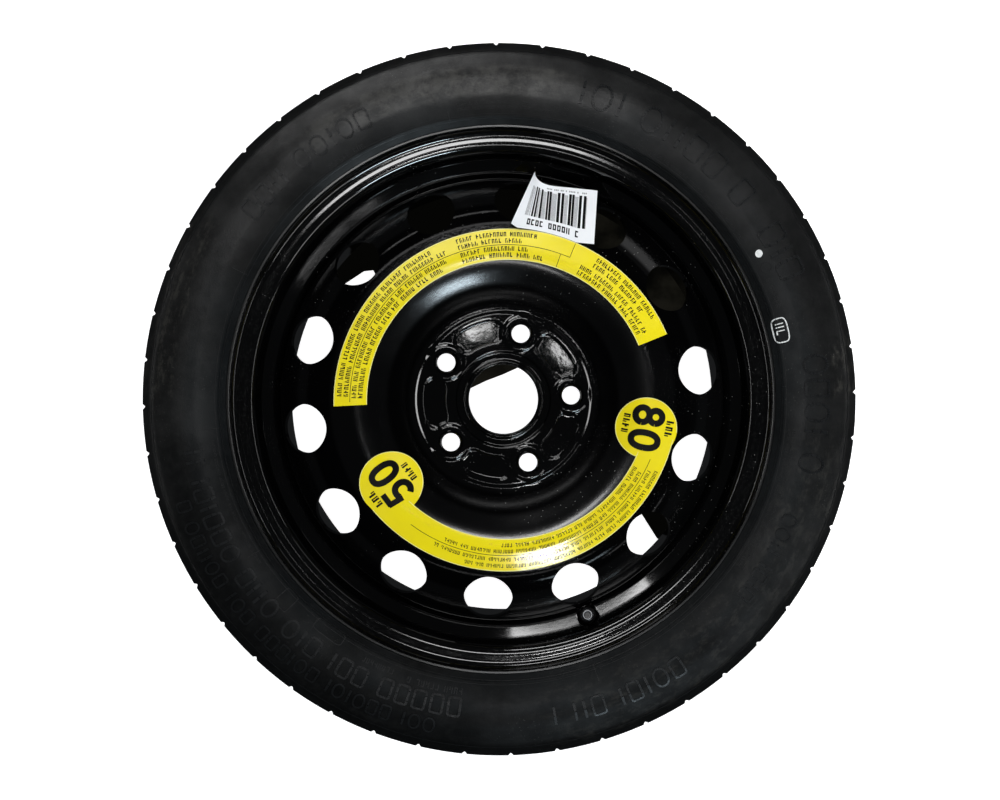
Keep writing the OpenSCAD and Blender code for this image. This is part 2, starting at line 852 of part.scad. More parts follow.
module paper_label() {
    last = paper_columns;
    cols = last + 1;
    rows = paper_rows + 1;
    count = cols * rows;
    function id(i, j, k) = k * count + j * cols + i;
    points = [
        for (k = [0, 1], j = [0 : paper_rows], i = [0 : paper_columns])
            paper_point(i / paper_columns, j / paper_rows, k * film_t)
    ];
    tops = [for (j = [0 : paper_rows - 1], i = [0 : paper_columns - 1])
        each [
            [id(i, j, 1), id(i + 1, j + 1, 1), id(i + 1, j, 1)],
            [id(i, j, 1), id(i, j + 1, 1), id(i + 1, j + 1, 1)],
        ]];
    backs = [for (j = [0 : paper_rows - 1], i = [0 : paper_columns - 1])
        each [
            [id(i, j, 0), id(i + 1, j, 0), id(i + 1, j + 1, 0)],
            [id(i, j, 0), id(i + 1, j + 1, 0), id(i, j + 1, 0)],
        ]];
    fronts = [for (i = [0 : paper_columns - 1])
        each [
            [id(i, 0, 0), id(i, 0, 1), id(i + 1, 0, 1), id(i + 1, 0, 0)],
            [id(i, paper_rows, 0), id(i + 1, paper_rows, 0), id(i + 1, paper_rows, 1), id(i, paper_rows, 1)],
        ]];
    sides = [for (j = [0 : paper_rows - 1])
        each [
            [id(0, j, 0), id(0, j + 1, 0), id(0, j + 1, 1), id(0, j, 1)],
            [id(last, j, 0), id(last, j, 1), id(last, j + 1, 1), id(last, j + 1, 0)],
        ]];
    color([0.93, 0.94, 0.95]) polyhedron(points, concat(tops, backs, fronts, sides));
}

tyre();
rim();
disc();
weld_beads();
valve_body();
valve_stem();
core_plug();
core_barrel();
core_gasket();
core_spring();
core_pin();
core_cup();
core_cup_seal();
valve_cap();
valve_cap_seal();
upper_label();
lower_label();
paper_label();
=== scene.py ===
"""Looks of the space saver spare wheel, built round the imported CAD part. Lengths below are in millimetres."""

import math
import random

import bmesh
import bpy
import numpy as np
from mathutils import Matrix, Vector


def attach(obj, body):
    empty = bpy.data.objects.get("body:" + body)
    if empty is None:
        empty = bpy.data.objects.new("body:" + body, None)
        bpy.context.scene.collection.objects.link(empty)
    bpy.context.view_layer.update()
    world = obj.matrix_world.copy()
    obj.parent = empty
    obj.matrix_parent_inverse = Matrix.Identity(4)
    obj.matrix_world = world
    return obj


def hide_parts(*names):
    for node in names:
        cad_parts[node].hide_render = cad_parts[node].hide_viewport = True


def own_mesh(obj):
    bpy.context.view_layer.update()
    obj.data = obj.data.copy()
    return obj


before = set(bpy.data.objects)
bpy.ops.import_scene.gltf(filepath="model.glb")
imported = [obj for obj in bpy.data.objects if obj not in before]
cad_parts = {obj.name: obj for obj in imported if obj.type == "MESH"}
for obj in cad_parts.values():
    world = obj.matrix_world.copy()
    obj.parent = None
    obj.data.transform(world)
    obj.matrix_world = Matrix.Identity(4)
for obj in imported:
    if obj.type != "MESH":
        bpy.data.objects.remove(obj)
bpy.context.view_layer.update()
random.seed(7)
MM = 0.001

# Rim
SEAT_R, HALF_W, FLANGE_R = 202.8, 44.45, 220.1
RIM_T, CURL, LIP = 2.3, 9.5, 1.0
WELL_R, WELL_HALF_W = 187.6, 14.0
SEAT_W, SEAT_TAN = 20.5, math.tan(math.radians(5))
HUMP_H, HUMP_W = 1.1, 3.0
# Disc
DISC_R, EDGE_Z, SHOULDER_Z = 185.25, -11.8, 23.2
DISC_T, OFFSET = 3.5, 25.5
CROWN_Z, CROWN_OUT, BOWL_OUT, BOWL_IN, FLOOR_Z = 41.0, 149.7, 114.7, 87.5, 28.3
CROWN_BEND, BOWL_BEND = 30, 50
PLATE_Z, PLATEAU_Z, HUB_R = 29.0, 30.3, 70.5
BORE_R, COLLAR_R, COLLAR_TOP = 28.55, 31.55, 34.5
PCD_R, BOLT_R, HUB_PHASE, BOLTS = 56.0, 7.5, 3.3, 5
BOSS_Z, BALL_Z, BALL_R = 31.6, 39.78, 13.0
STEP_H = 1.3
VENTS, VENT_D, VENT_AT, VENT_Z, WEB = 14, 40.0, 164.0, 33.84, math.radians(26.6)
# Valve
VALVE_ANGLE, VALVE_TILT, VALVE_R, VALVE_Z = math.radians(291.3), math.radians(14), 194.9, 17.5
VALVE_OUT = np.array([math.cos(VALVE_ANGLE), math.sin(VALVE_ANGLE), 0])
VALVE_AXIS = np.array([0, 0, math.cos(VALVE_TILT)]) - math.sin(VALVE_TILT) * VALVE_OUT
VALVE_HOLE_R = 5.65
PRESS_IN, PRESS_OUT = 7.0, 8.7
CAP_D, CAP_LOW, CAP_TOP, CAP_BORE_R, CAP_BORE_TOP = 10.4, 13.5, 24.3, 4.15, 22.3
SPRING_D, SPRING_WIRE, SPRING_TURNS, SPRING_LOW, SPRING_HIGH = 2.0, 0.3, 6, 7.35, 16.2
# Tyre
TYRE_R, HALF_SECTION, HALF_TREAD, TREAD_DROP = 290.7, 62.5, 47.0, 2.2
# The moulded marks stand out from the sidewall by this much, and reach the tyre's full width
MARK_H = 0.45
SIDE_TOP = HALF_SECTION - MARK_H
NOTCHES, NOTCH_DEPTH, NOTCH_PHASE = 48, 3.0, 0.16
# Faces round the wheel. Each piece stays under 200,000 triangles
RIM_COLUMNS, DISC_COLUMNS = 270, 380


# Meshes


def unit(v):
    return v / np.linalg.norm(v)


def bend(a, b, c, r, step):
    """Points of the round bend of radius r at corner b between a and c."""
    u, v = unit(a - b), unit(c - b)
    half = math.acos(float(np.clip(u @ v, -1, 1))) / 2
    centre = b + unit(u + v) * r / math.sin(half)
    first, last = b + u * r / math.tan(half) - centre, b + v * r / math.tan(half) - centre
    begin = math.atan2(first[1], first[0])
    sweep = (math.atan2(last[1], last[0]) - begin + math.pi) % (2 * math.pi) - math.pi
    n = max(2, math.ceil(abs(math.degrees(sweep)) / step))
    turns = [begin + sweep * i / n for i in range(n + 1)]
    return [centre + r * np.array([math.cos(a), math.sin(a)]) for a in turns]


def path(corners, step=5.0, length=4.0):
    """Dense points along rounded corners (r, z, bend radius)."""
    p = [np.array(c[:2], float) for c in corners]
    rough = []
    for i, c in enumerate(corners):
        rough += [p[i]] if c[2] == 0 else bend(p[i - 1], p[i], p[i + 1], c[2], step)
    out = [rough[0]]
    for q in rough[1:]:
        n = max(1, math.ceil(np.linalg.norm(q - out[-1]) / length))
        base = out[-1]
        out += [base + (q - base) * k / n for k in range(1, n + 1)]
    return np.array([q for i, q in enumerate(out) if i == 0 or np.linalg.norm(q - out[i - 1]) > 1e-6])


def shifted(p, d):
    """A dense path moved sideways by d, to its left for a positive d."""
    t = np.gradient(p, axis=0)
    t /= np.linalg.norm(t, axis=1)[:, None]
    return p + d * np.stack([-t[:, 1], t[:, 0]], 1)


def grid_faces(rows, cols, loop_rows, loop_cols):
    """Quads between points that lie in columns of so many rows. A looped side closes on itself."""
    i = np.arange(rows if loop_rows else rows - 1)
    j = np.arange(cols if loop_cols else cols - 1)
    jj, ii = np.meshgrid(j, i, indexing="ij")
    a, b = ii.ravel(), jj.ravel()
    a1, b1 = (a + 1) % rows, (b + 1) % cols
    return np.stack([b * rows + a, b * rows + a1, b1 * rows + a1, b1 * rows + a], 1)


def smooth(me, sharp=38.0):
    me.shade_smooth()
    me.set_sharp_from_angle(angle=math.radians(sharp))


def add_mesh(name, points, faces, material, sharp=38.0):
    me = bpy.data.meshes.new(name)
    faces = [tuple(int(k) for k in f) for f in faces]
    me.from_pydata((np.asarray(points, float) * MM).tolist(), [], faces)
    me.materials.append(material)
    me.update()
    smooth(me, sharp)
    ob = bpy.data.objects.new(name, me)
    bpy.context.scene.collection.objects.link(ob)
    return ob


def outward(points, faces):
    """The faces of a closed mesh, turned so that they face outwards."""
    p, f = np.asarray(points, float), np.asarray(faces)
    volume = 0.0
    for k in (1, 2):
        volume += np.einsum("ij,ij->i", p[f[:, 0]], np.cross(p[f[:, k]], p[f[:, k + 1]])).sum()
    return f if volume > 0 else f[:, ::-1]


def revolve(profile, angles, change=None):
    """A closed profile turned round Z at the angles. change(points) may move the points."""
    a = np.asarray(angles)
    r, z = profile[:, 0], profile[:, 1]
    pts = np.stack([np.outer(np.cos(a), r), np.outer(np.sin(a), r), np.outer(np.ones_like(a), z)], 2)
    pts = pts.reshape(-1, 3)
    if change is not None:
        rows = np.tile(np.arange(len(profile)), len(a))
        pts = change(pts, rows)
    faces = grid_faces(len(profile), len(a), True, True)
    return pts, outward(pts, faces)


def cut(ob, cutters):
    """Takes the cutters out of ob."""
    for c in cutters:
        m = ob.modifiers.new("cut", "BOOLEAN")
        m.operation = "DIFFERENCE"
        m.solver = "EXACT"
        m.object = c
    graph = bpy.context.evaluated_depsgraph_get()
    me = bpy.data.meshes.new_from_object(ob.evaluated_get(graph))
    old = ob.data
    ob.modifiers.clear()
    ob.data = me
    bpy.data.meshes.remove(old)
    for c in cutters:
        bpy.data.objects.remove(c)
    smooth(me)


def full_turn(n):
    """n even angles round a circle."""
    return np.linspace(0, 2 * math.pi, n, endpoint=False)


def on_circle(centre, r, a):
    """The point at distance r from centre, in the direction a."""
    return centre[0] + r * math.cos(a), centre[1] + r * math.sin(a)


def smoothstep(x):
    x = np.clip(x, 0, 1)
    return x * x * (3 - 2 * x)


def smooth_max(a, b, k):
    h = np.clip(0.5 + 0.5 * (a - b) / k, 0, 1)
    return b + (a - b) * h + k * h * (1 - h)


# Materials


def nodes_of(name):
    m = bpy.data.materials.new(name)
    m.use_nodes = True
    return m, m.node_tree, m.node_tree.nodes["Principled BSDF"]


def feed(tree, n, **inputs):
    """Sets inputs of the node n, each to a value or to another node's output."""
    for key, value in inputs.items():
        socket = n.inputs[key.replace("_", " ")]
        if isinstance(value, bpy.types.NodeSocket):
            tree.links.new(value, socket)
        else:
            socket.default_value = (*value, 1) if isinstance(value, tuple) else value
    return n


def fresh(tree, kind, **inputs):
    """A new shader node with its inputs set."""
    return feed(tree, tree.nodes.new("ShaderNode" + kind), **inputs)


def noise(tree, scale, detail=4.0, rough=0.55, coord=None):
    coord = coord or object_coord(tree)
    return fresh(tree, "TexNoise", Scale=scale, Detail=detail, Roughness=rough, Vector=coord).outputs["Fac"]


def object_coord(tree):
    n = tree.nodes.get("coord") or tree.nodes.new("ShaderNodeTexCoord")
    n.name = "coord"
    return n.outputs["Object"]


def ramp(tree, value, low, high, out_low=0.0, out_high=1.0):
    """value from low to high, eased to run from out_low to out_high."""
    n = fresh(tree, "MapRange", Value=value, From_Min=low, From_Max=high, To_Min=out_low, To_Max=out_high)
    n.interpolation_type = "SMOOTHSTEP"
    return n.outputs["Result"]


def mix_colour(tree, fac, a, b):
    n = tree.nodes.new("ShaderNodeMix")
    n.data_type = "RGBA"
    tree.links.new(fac, n.inputs["Factor"])
    for k, c in ((6, a), (7, b)):
        if isinstance(c, tuple):
            n.inputs[k].default_value = (*c, 1)
        else:
            tree.links.new(c, n.inputs[k])
    return n.outputs[2]


def bump(tree, shader, height, strength, distance):
    n = fresh(tree, "Bump", Strength=strength, Distance=distance, Height=height)
    feed(tree, shader, Normal=n.outputs["Normal"])


def specks(tree, scale, size):
    """Small scattered dots, 1 inside a dot."""
    n = fresh(tree, "TexVoronoi", Scale=scale, Vector=object_coord(tree))
    return ramp(tree, n.outputs["Distance"], size, size * 0.5)


def maths(tree, kind, a, b):
    n = tree.nodes.new("ShaderNodeMath")
    n.operation = kind
    for k, v in ((0, a), (1, b)):
        if isinstance(v, (int, float)):
            n.inputs[k].default_value = v
        else:
            tree.links.new(v, n.inputs[k])
    return n.outputs[0]


def times(tree, a, b):
    return maths(tree, "MULTIPLY", a, b)


def plus(tree, a, b):
    return maths(tree, "ADD", a, b)


def minus(tree, a, b):
    return maths(tree, "SUBTRACT", a, b)


def flat_coords(tree):
    """X and Y in metres."""
    split = fresh(tree, "SeparateXYZ", Vector=object_coord(tree))
    return split.outputs[0], split.outputs[1]


def polar(tree):
    """Distance from the wheel's axis in metres, and the angle round it in degrees."""
    x, y = flat_coords(tree)
    squares = times(tree, x, x), times(tree, y, y)
    r = maths(tree, "SQRT", plus(tree, *squares), 0)
    angle = times(tree, maths(tree, "ARCTAN2", y, x), 180 / math.pi)
    return r, angle


def window(tree, value, low, high, soft):
    """1 between low and high, falling to 0 over soft on each side."""
    up = ramp(tree, value, low - soft, low)
    down = ramp(tree, value, high, high + soft, 1.0, 0.0)
    return times(tree, up, down)


def arc_coord(tree, along, across):
    """Coordinates that run round the wheel, for marks drawn out along it."""
    r, angle = polar(tree)
    return fresh(tree, "CombineXYZ", X=times(tree, angle, along), Y=times(tree, r, across)).outputs[0]


def black_paint():
    m, t, s = nodes_of("black_paint")
    r, _ = polar(t)
    haze = ramp(t, noise(t, 9, 6), 0.5, 0.75)
    base = mix_colour(t, haze, (0.0007, 0.0007, 0.0008), (0.0018, 0.0018, 0.0019))
    # Dust lies thickest at the rim's edge
    edge_dust = times(t, window(t, r, 0.205, 0.23, 0.006), ramp(t, noise(t, 420, 3, 0.8), 0.5, 0.68))
    base = mix_colour(t, times(t, edge_dust, 0.16), base, (0.03, 0.03, 0.029))
    dots = times(t, specks(t, 240, 0.1), ramp(t, noise(t, 7, 3), 0.52, 0.6))
    fine_dots = times(t, specks(t, 700, 0.13), ramp(t, noise(t, 12, 3), 0.55, 0.66))
    dust = maths(t, "MAXIMUM", dots, times(t, fine_dots, 0.3))
    base = mix_colour(t, dust, base, (0.2, 0.2, 0.19))
    # The hub is the glossiest, the bowl's wall is duller than the rim
    rough = ramp(t, noise(t, 30, 5), 0.3, 0.75, 0.06, 0.105)
    rough = plus(t, rough, times(t, edge_dust, 0.04))
    rough = plus(t, rough, times(t, window(t, r, 0.084, 0.118, 0.006), 0.1))
    rough = minus(t, rough, ramp(t, r, 0.072, 0.082, 0.045, 0.0))
    # The lip is scuffed dull by the tyre's bead
    rough = plus(t, rough, ramp(t, r, 0.2165, 0.2185, 0.0, 0.25))
    feed(t, s, Base_Color=base, Roughness=rough, Coat_Roughness=0.06)
    # Grime dulls the bend outside the films and the foot of the bowl's wall
    dull = plus(t, window(t, r, 0.1425, 0.158, 0.004), window(t, r, 0.08, 0.093, 0.005))
    shine, coat = minus(t, 0.5, times(t, dull, 0.46)), minus(t, 0.15, times(t, dull, 0.15))
    feed(t, s, Specular_IOR_Level=shine, Coat_Weight=coat)
    peel = plus(t, noise(t, 420, 2), times(t, noise(t, 1400, 2), 0.35))
    # The hub and the rim have hardly any peel, and the pressed pads have slow waves
    peel = times(t, peel, plus(t, window(t, r, 0.08, 0.176, 0.01), 0.25))
    peel = plus(t, peel, times(t, noise(t, 90, 2), ramp(t, r, 0.066, 0.074, 1.1, 0.0)))
    bump(t, s, peel, 0.1, 0.0003)
    return m


# Scuffs on the sidewall, and a painted highlight: first and last angle and softness, first and last radius and
# softness, and weight.
# The last is the patch at the top, a painted sheen where light falls on the top of the sidewall, lightened
# twice
SCUFFS_AND_SHEEN = (
    ((152, 176, 7), (0.262, 0.283, 0.006), 1.0),
    ((2, 9, 3), (0.268, 0.288, 0.004), 1.0),
    ((-75, -15, 15), (0.238, 0.275, 0.01), 0.6),
    ((84, 122, 10), (0.246, 0.262, 0.006), 1.0),
)


def tyre_rubber():
    m, t, s = nodes_of("tyre_rubber")
    r, angle = polar(t)
    wide = ramp(t, noise(t, 6, 5), 0.35, 0.7)
    base = mix_colour(t, wide, (0.0034, 0.0035, 0.0036), (0.0052, 0.0053, 0.0054))
    fine = ramp(t, noise(t, 160, 6, 0.7), 0.4, 0.75)
    base = mix_colour(t, times(t, fine, 0.3), base, (0.015, 0.0155, 0.015))
    # Bluish wax near the bead and lower down; brownish scuffs higher up, and a painted sheen at the top
    bloom = times(t, window(t, r, 0.222, 0.246, 0.01), ramp(t, noise(t, 11, 4), 0.35, 0.65))
    base = mix_colour(t, times(t, bloom, 0.3), base, (0.006, 0.009, 0.011))
    # Scuffs, and among them the painted sheen patch at the top of the sidewall
    scuff_and_sheen = 0.0
    for along, across, weight in SCUFFS_AND_SHEEN:
        top = times(t, window(t, angle, *along), window(t, r, *across))
        scuff_and_sheen = plus(t, scuff_and_sheen, times(t, top, weight))
    streaks = ramp(t, noise(t, 1.0, 8, 0.75, arc_coord(t, 0.35, 160)), 0.48, 0.64)
    scuff_and_sheen = times(t, maths(t, "MINIMUM", scuff_and_sheen, 1.0), streaks)
    base = mix_colour(t, times(t, scuff_and_sheen, 0.5), base, (0.045, 0.043, 0.038))
    # The top patch is lightened again: painted sheen where light falls on the top of the sidewall
    top = times(t, top, ramp(t, noise(t, 60, 6, 0.7), 0.42, 0.6))
    base = mix_colour(t, times(t, top, 0.45), base, (0.06, 0.058, 0.053))
    specs = times(t, specks(t, 420, 0.14), ramp(t, noise(t, 9, 3), 0.55, 0.65))
    base = mix_colour(t, times(t, specs, 0.6), base, (0.12, 0.12, 0.11))
    feed(t, s, Base_Color=base, Roughness=ramp(t, noise(t, 22, 5), 0.3, 0.75, 0.34, 0.46))
    # Most shine on the shoulder, least near the bead and at the lower left
    shine = ramp(t, r, 0.225, 0.25, 0.1, 0.3)
    lower = times(t, window(t, angle, -150, -50, 30), ramp(t, r, 0.232, 0.256, 0.35, 1.0))
    upper = window(t, angle, 75, 115, 25)
    shine = times(t, shine, minus(t, 1.0, times(t, lower, 0.75)))
    shine = times(t, shine, plus(t, 1.0, times(t, upper, 0.45)))
    blotches = ramp(t, noise(t, 24, 6, 0.65), 0.35, 0.65, 0.7, 1.3)
    feed(t, s, Specular_IOR_Level=times(t, shine, blotches))
    waves = noise(t, 1.0, 3, 0.5, arc_coord(t, 0.12, 70))
    grain = plus(t, times(t, noise(t, 900, 4), 0.3), waves)
    bump(t, s, grain, 0.3, 0.0012)
    return m


def yellow_film():
    m, t, s = nodes_of("yellow_film")
    _, angle = polar(t)
    wear = ramp(t, noise(t, 14, 6), 0.45, 0.75)
    base = mix_colour(t, wear, (0.94, 0.78, 0.01), (0.86, 0.69, 0.018))
    # Smudges of dirt
    smudge = times(t, ramp(t, noise(t, 26, 8, 0.7), 0.56, 0.72), 0.3)
    base = mix_colour(t, smudge, base, (0.36, 0.26, 0.03))
    # Glossier at the bottom, where the film is rubbed least
    lower = window(t, angle, -120, -40, 25)
    rough = ramp(t, noise(t, 60, 4), 0.3, 0.7, 0.15, 0.24)
    rough = times(t, rough, minus(t, 1.0, times(t, lower, 0.55)))
    feed(t, s, Base_Color=base, Roughness=rough)
    bump(t, s, noise(t, 90, 3), 0.03, 0.001)
    return m


def plain(name, colour, rough, metal=0.0, grain=200, depth=0.15, spread=0.25, shine=0.5):
    m, t, s = nodes_of(name)
    light = tuple(min(1.0, c * (1 + spread)) for c in colour)
    tone = mix_colour(t, ramp(t, noise(t, grain / 4, 5), 0.3, 0.7), colour, light)
    dull = ramp(t, noise(t, grain, 4), 0.3, 0.7, rough * 0.85, min(1.0, rough * 1.2))
    feed(t, s, Base_Color=tone, Roughness=dull, Metallic=metal, Specular_IOR_Level=shine)
    bump(t, s, noise(t, grain * 3, 3), depth, 0.0003)
    return m


PAINT = black_paint()
RUBBER = tyre_rubber()
YELLOW = yellow_film()
WHITE = plain("paper_white", (0.86, 0.87, 0.89), 0.45, spread=0.05)
INK = plain("black_ink", (0.004, 0.004, 0.004), 0.35, shine=0.12)
GREY_INK = plain("grey_ink", (0.2, 0.2, 0.21), 0.5)
VALVE_RUBBER = plain("valve_rubber", (0.008, 0.008, 0.008), 0.35)
FILM_EDGE = plain("film_edge", (0.82, 0.76, 0.28), 0.35)
CAP = plain("cap_plastic", (0.008, 0.008, 0.009), 0.22)
# Pale grey for the ring on the valve cap's top edge: a painted highlight
CAP_EDGE_HIGHLIGHT = plain("painted_cap_highlight", (0.3, 0.3, 0.31), 0.3, grain=900)
BRASS = plain("brass", (0.62, 0.45, 0.2), 0.28, metal=1.0, grain=600)
STEEL = plain("steel", (0.5, 0.5, 0.52), 0.25, metal=1.0, grain=600)
SEAL = plain("seal_rubber", (0.08, 0.03, 0.02), 0.6)
NYLON = plain("gasket", (0.75, 0.74, 0.7), 0.5)
WELD = plain("weld", (0.012, 0.012, 0.013), 0.32, grain=500, depth=0.6)
RUBBED = plain("rubbed_rubber", (0.0065, 0.007, 0.0075), 0.34, shine=0.24)
MARK = plain("paint_mark", (0.68, 0.69, 0.68), 0.6, grain=900)


# Rim


def seat(z):
    return SEAT_R - (HALF_W - z) * SEAT_TAN


def rim_side():
    """Corners of the rim's tyre side, from the lip to the middle of the well."""
    end = HALF_W - SEAT_W
    return [
        (FLANGE_R, HALF_W + CURL + LIP, 0),
        (FLANGE_R, HALF_W, CURL),
        (SEAT_R, HALF_W, 6.5),
        (seat(end + 2 * HUMP_W), end + 2 * HUMP_W, 3),
        (seat(end + HUMP_W) + HUMP_H, end + HUMP_W, 4),
        (seat(end), end, 5.3),
        (WELL_R, WELL_HALF_W, 4.5),
    ]


def valve_frame(pts):
    """Height along the valve's axis over the pressed flat, and distance from that axis."""
    d = pts - valve_point(0)
    w = d @ VALVE_AXIS
    return w, np.linalg.norm(d - w[:, None] * VALVE_AXIS, axis=1)


def make_rim():
    half = rim_side()
    whole = half + [(r, -z, b) for r, z, b in reversed(half)]
    tyre_side = path(whole, 9, 12)
    dish = shifted(path(whole, 4, 2.2), -RIM_T)
    # A fuller round at the lips
    tip = np.array([[FLANGE_R - 0.5, HALF_W + CURL + LIP], [FLANGE_R - RIM_T + 0.5, HALF_W + CURL + LIP]])
    dish[0][1] = dish[0][1] - 0.5
    dish[-1][1] = dish[-1][1] + 0.5
    tyre_side[0][1] -= 0.5
    tyre_side[-1][1] += 0.5
    profile = np.concatenate([tyre_side, tip * [1, -1], dish[::-1], tip[::-1]])
    is_dish = np.zeros(len(profile), bool)
    is_dish[len(tyre_side) + 2 : len(tyre_side) + 2 + len(dish)] = True
    # The faces are finer next to the valve, where the sheet is pressed flat
    near = VALVE_ANGLE + np.radians(np.arange(-4, 4.001, 0.2))
    rest = np.linspace(near[-1], near[0] + 2 * math.pi, RIM_COLUMNS)[1:-1]

    def press(pts, rows):
        w, rho = valve_frame(pts)
        floor = np.where(is_dish[rows], 0.0, -RIM_T)
        keep = smoothstep((rho - PRESS_IN) / (PRESS_OUT - PRESS_IN))
        low = (w > floor) & (rho < PRESS_OUT)
        move = np.where(low, (floor - w) * (1 - keep), 0)
        return pts + move[:, None] * VALVE_AXIS

    pts, faces = revolve(profile, np.concatenate([near, rest]), press)
    ob = add_mesh("rim_sheet", pts, faces, PAINT, 50)
    hole = cylinder("valve_hole", VALVE_HOLE_R, valve_point(-9), valve_point(9))
    cut(ob, [hole])
    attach(ob, "wheel")
    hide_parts("rim")


def valve_point(w):
    """The point at height w on the valve's axis."""
    return VALVE_R * VALVE_OUT + np.array([0, 0, VALVE_Z]) + VALVE_AXIS * w


def valve_place(pts):
    """Points given round the valve's axis, put in the wheel's frame."""
    across = unit(np.cross(VALVE_AXIS, VALVE_OUT))
    x = np.cross(across, VALVE_AXIS)
    p = np.asarray(pts, float)
    return valve_point(0) + p[:, :1] * x + p[:, 1:2] * across + p[:, 2:3] * VALVE_AXIS


def cylinder(name, r, a, b, sides=96):
    """A capped cylinder between two points."""
    a, b = np.asarray(a, float), np.asarray(b, float)
    axis = unit(b - a)
    # Any direction that isn't along the axis gives the first side
    x = unit(np.cross(axis, [0.3, 0.5, 0.81]))
    y = np.cross(axis, x)
    t = full_turn(sides)
    ring = r * (np.outer(np.cos(t), x) + np.outer(np.sin(t), y))
    pts = np.concatenate([a + ring, b + ring])
    faces = [(i, (i + 1) % sides, sides + (i + 1) % sides, sides + i) for i in range(sides)]
    faces += [tuple(range(sides))[::-1], tuple(range(sides, 2 * sides))]
    return add_mesh(name, pts, faces, PAINT)


# Disc


def plate_corners():
    """Corners of the disc's front, from the skirt's edge to the collar."""
    return [
        (DISC_R, EDGE_Z, 0),
        (DISC_R, SHOULDER_Z, 9),
        (CROWN_OUT, CROWN_Z, CROWN_BEND),
        (BOWL_OUT, CROWN_Z, BOWL_BEND),
        (BOWL_IN, FLOOR_Z, BOWL_BEND),
        (HUB_R + 3, FLOOR_Z, 1.5),
        (HUB_R, PLATEAU_Z, 1.6),
        (COLLAR_R + 8.5, PLATEAU_Z, 2.0),
        (COLLAR_R + 6.5, PLATE_Z, 1.5),
        (COLLAR_R + 3, PLATE_Z, 0),
    ]


FACE = path(plate_corners(), 3, 2.6)
RISING = FACE[(FACE[:, 0] > 76) & (FACE[:, 0] < 184.5)][::-1]


def face_z(r):
    return np.interp(r, RISING[:, 0], RISING[:, 1])


def pocket(x, y):
    """1 inside the pressed pads between the bolts, 0 outside."""
    r = np.hypot(x, y)
    turn = 2 * math.pi / BOLTS
    a = (np.arctan2(y, x) - math.radians(HUB_PHASE)) % turn - turn / 2
    half, mid, cut_a = 9.3, 56.7, math.radians(11.6)
    over = np.maximum(0, np.abs(a) - cut_a)
    dx = r * np.cos(over) - mid
    dy = np.where(over > 0, r * np.sin(over), 0)
    return smoothstep((half - np.hypot(dx, dy)) / 1.5 + 0.5)


def boss_distance(x, y):
    """Distance from the nearest bolt's axis."""
    r = np.hypot(x, y)
    turn = 2 * math.pi / BOLTS
    a = (np.arctan2(y, x) - math.radians(HUB_PHASE) + turn / 2) % turn - turn / 2
    return np.hypot(r * np.cos(a) - PCD_R, r * np.sin(a))


def make_disc():
    hub = path(plate_corners(), 10, 0.85)
    front = np.concatenate([FACE[FACE[:, 0] > 78], hub[hub[:, 0] <= 78]])
    collar = path(
        [
            (COLLAR_R + 3, PLATE_Z, 0),
            (COLLAR_R, PLATE_Z, 2.2),
            (COLLAR_R, COLLAR_TOP, 0.8),
            (BORE_R + 1.5, COLLAR_TOP, 0),
            (BORE_R, COLLAR_TOP, 0.6),
            (BORE_R, OFFSET, 1.5),
            (COLLAR_R + 3, OFFSET, 0),
        ],
        15,
        2.5,
    )[1:-1]
    back_outer = path(plate_corners(), 9, 7)
    back_hub = path(plate_corners(), 12, 2.0)
    back = np.concatenate([back_outer[back_outer[:, 0] > 78], back_hub[back_hub[:, 0] <= 78]])
    back = shifted(back, DISC_T)[::-1]
    profile = np.concatenate([front, collar, back])
    is_back = np.zeros(len(profile), bool)
    is_back[len(front) + len(collar) :] = True

    def press(pts, rows):
        x, y, z = pts[:, 0], pts[:, 1], pts[:, 2]
        r = np.hypot(x, y)
        back_row = is_back[rows]
        hub_zone = (r > 36) & (r < 80)
        d = boss_distance(x, y)
        top = np.where(back_row, BOSS_Z - DISC_T, BOSS_Z)
        reach = np.where(back_row, 11.8, 13.4)
        boss = top - 0.72 * np.maximum(0, d - reach)
        pressed = z - STEP_H * pocket(x, y) * ((r > 40) & (r < 70))
        raised = smooth_max(boss, pressed, 0.7)
        z = np.where(hub_zone & (d < 21), raised, np.where(hub_zone, pressed, z))
        return np.stack([x, y, z], 1)

    angles = full_turn(DISC_COLUMNS)
    pts, faces = revolve(profile, angles, press)
    ob = add_mesh("disc_pressing", pts, faces, PAINT)
    cutters = []
    for i in range(VENTS):
        a = VALVE_ANGLE + 2 * math.pi * i / VENTS
        c = np.array([*on_circle((0, 0), VENT_AT, a), VENT_Z])
        n = np.array([math.sin(WEB) * math.cos(a), math.sin(WEB) * math.sin(a), math.cos(WEB)])
        cutters.append(cylinder(f"vent_{i}", VENT_D / 2, c - 9 * n, c + 8 * n))
    for i in range(BOLTS):
        a = math.radians(HUB_PHASE) + 2 * math.pi * i / BOLTS
        cutters.append(seat_cutter(f"seat_{i}", *on_circle((0, 0), PCD_R, a)))
    cut(ob, cutters)
    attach(ob, "wheel")
    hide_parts("disc")


def seat_cutter(name, x, y):
    """The ball seat and the hole for the bolt at x, y."""
    low = math.asin(BOLT_R / BALL_R)
    turns = np.linspace(low, math.radians(60), 14)
    arc = [(BALL_R * math.sin(t), BALL_Z - BALL_R * math.cos(t)) for t in turns]
    profile = [(BOLT_R, OFFSET - 4), *arc, (arc[-1][0], BALL_Z + 2)]
    sides = 72
    t = full_turn(sides)
    pts = []
    for r, z in profile:
        pts += [(*on_circle((x, y), r, a), z) for a in t]
    faces = []
    for k in range(len(profile) - 1):
        for i in range(sides):
            j = (i + 1) % sides
            faces.append((k * sides + i, k * sides + j, (k + 1) * sides + j, (k + 1) * sides + i))
    top = (len(profile) - 1) * sides
    faces += [tuple(range(sides))[::-1], tuple(range(top, top + sides))]
    return add_mesh(name, pts, faces, PAINT)


# Tyre


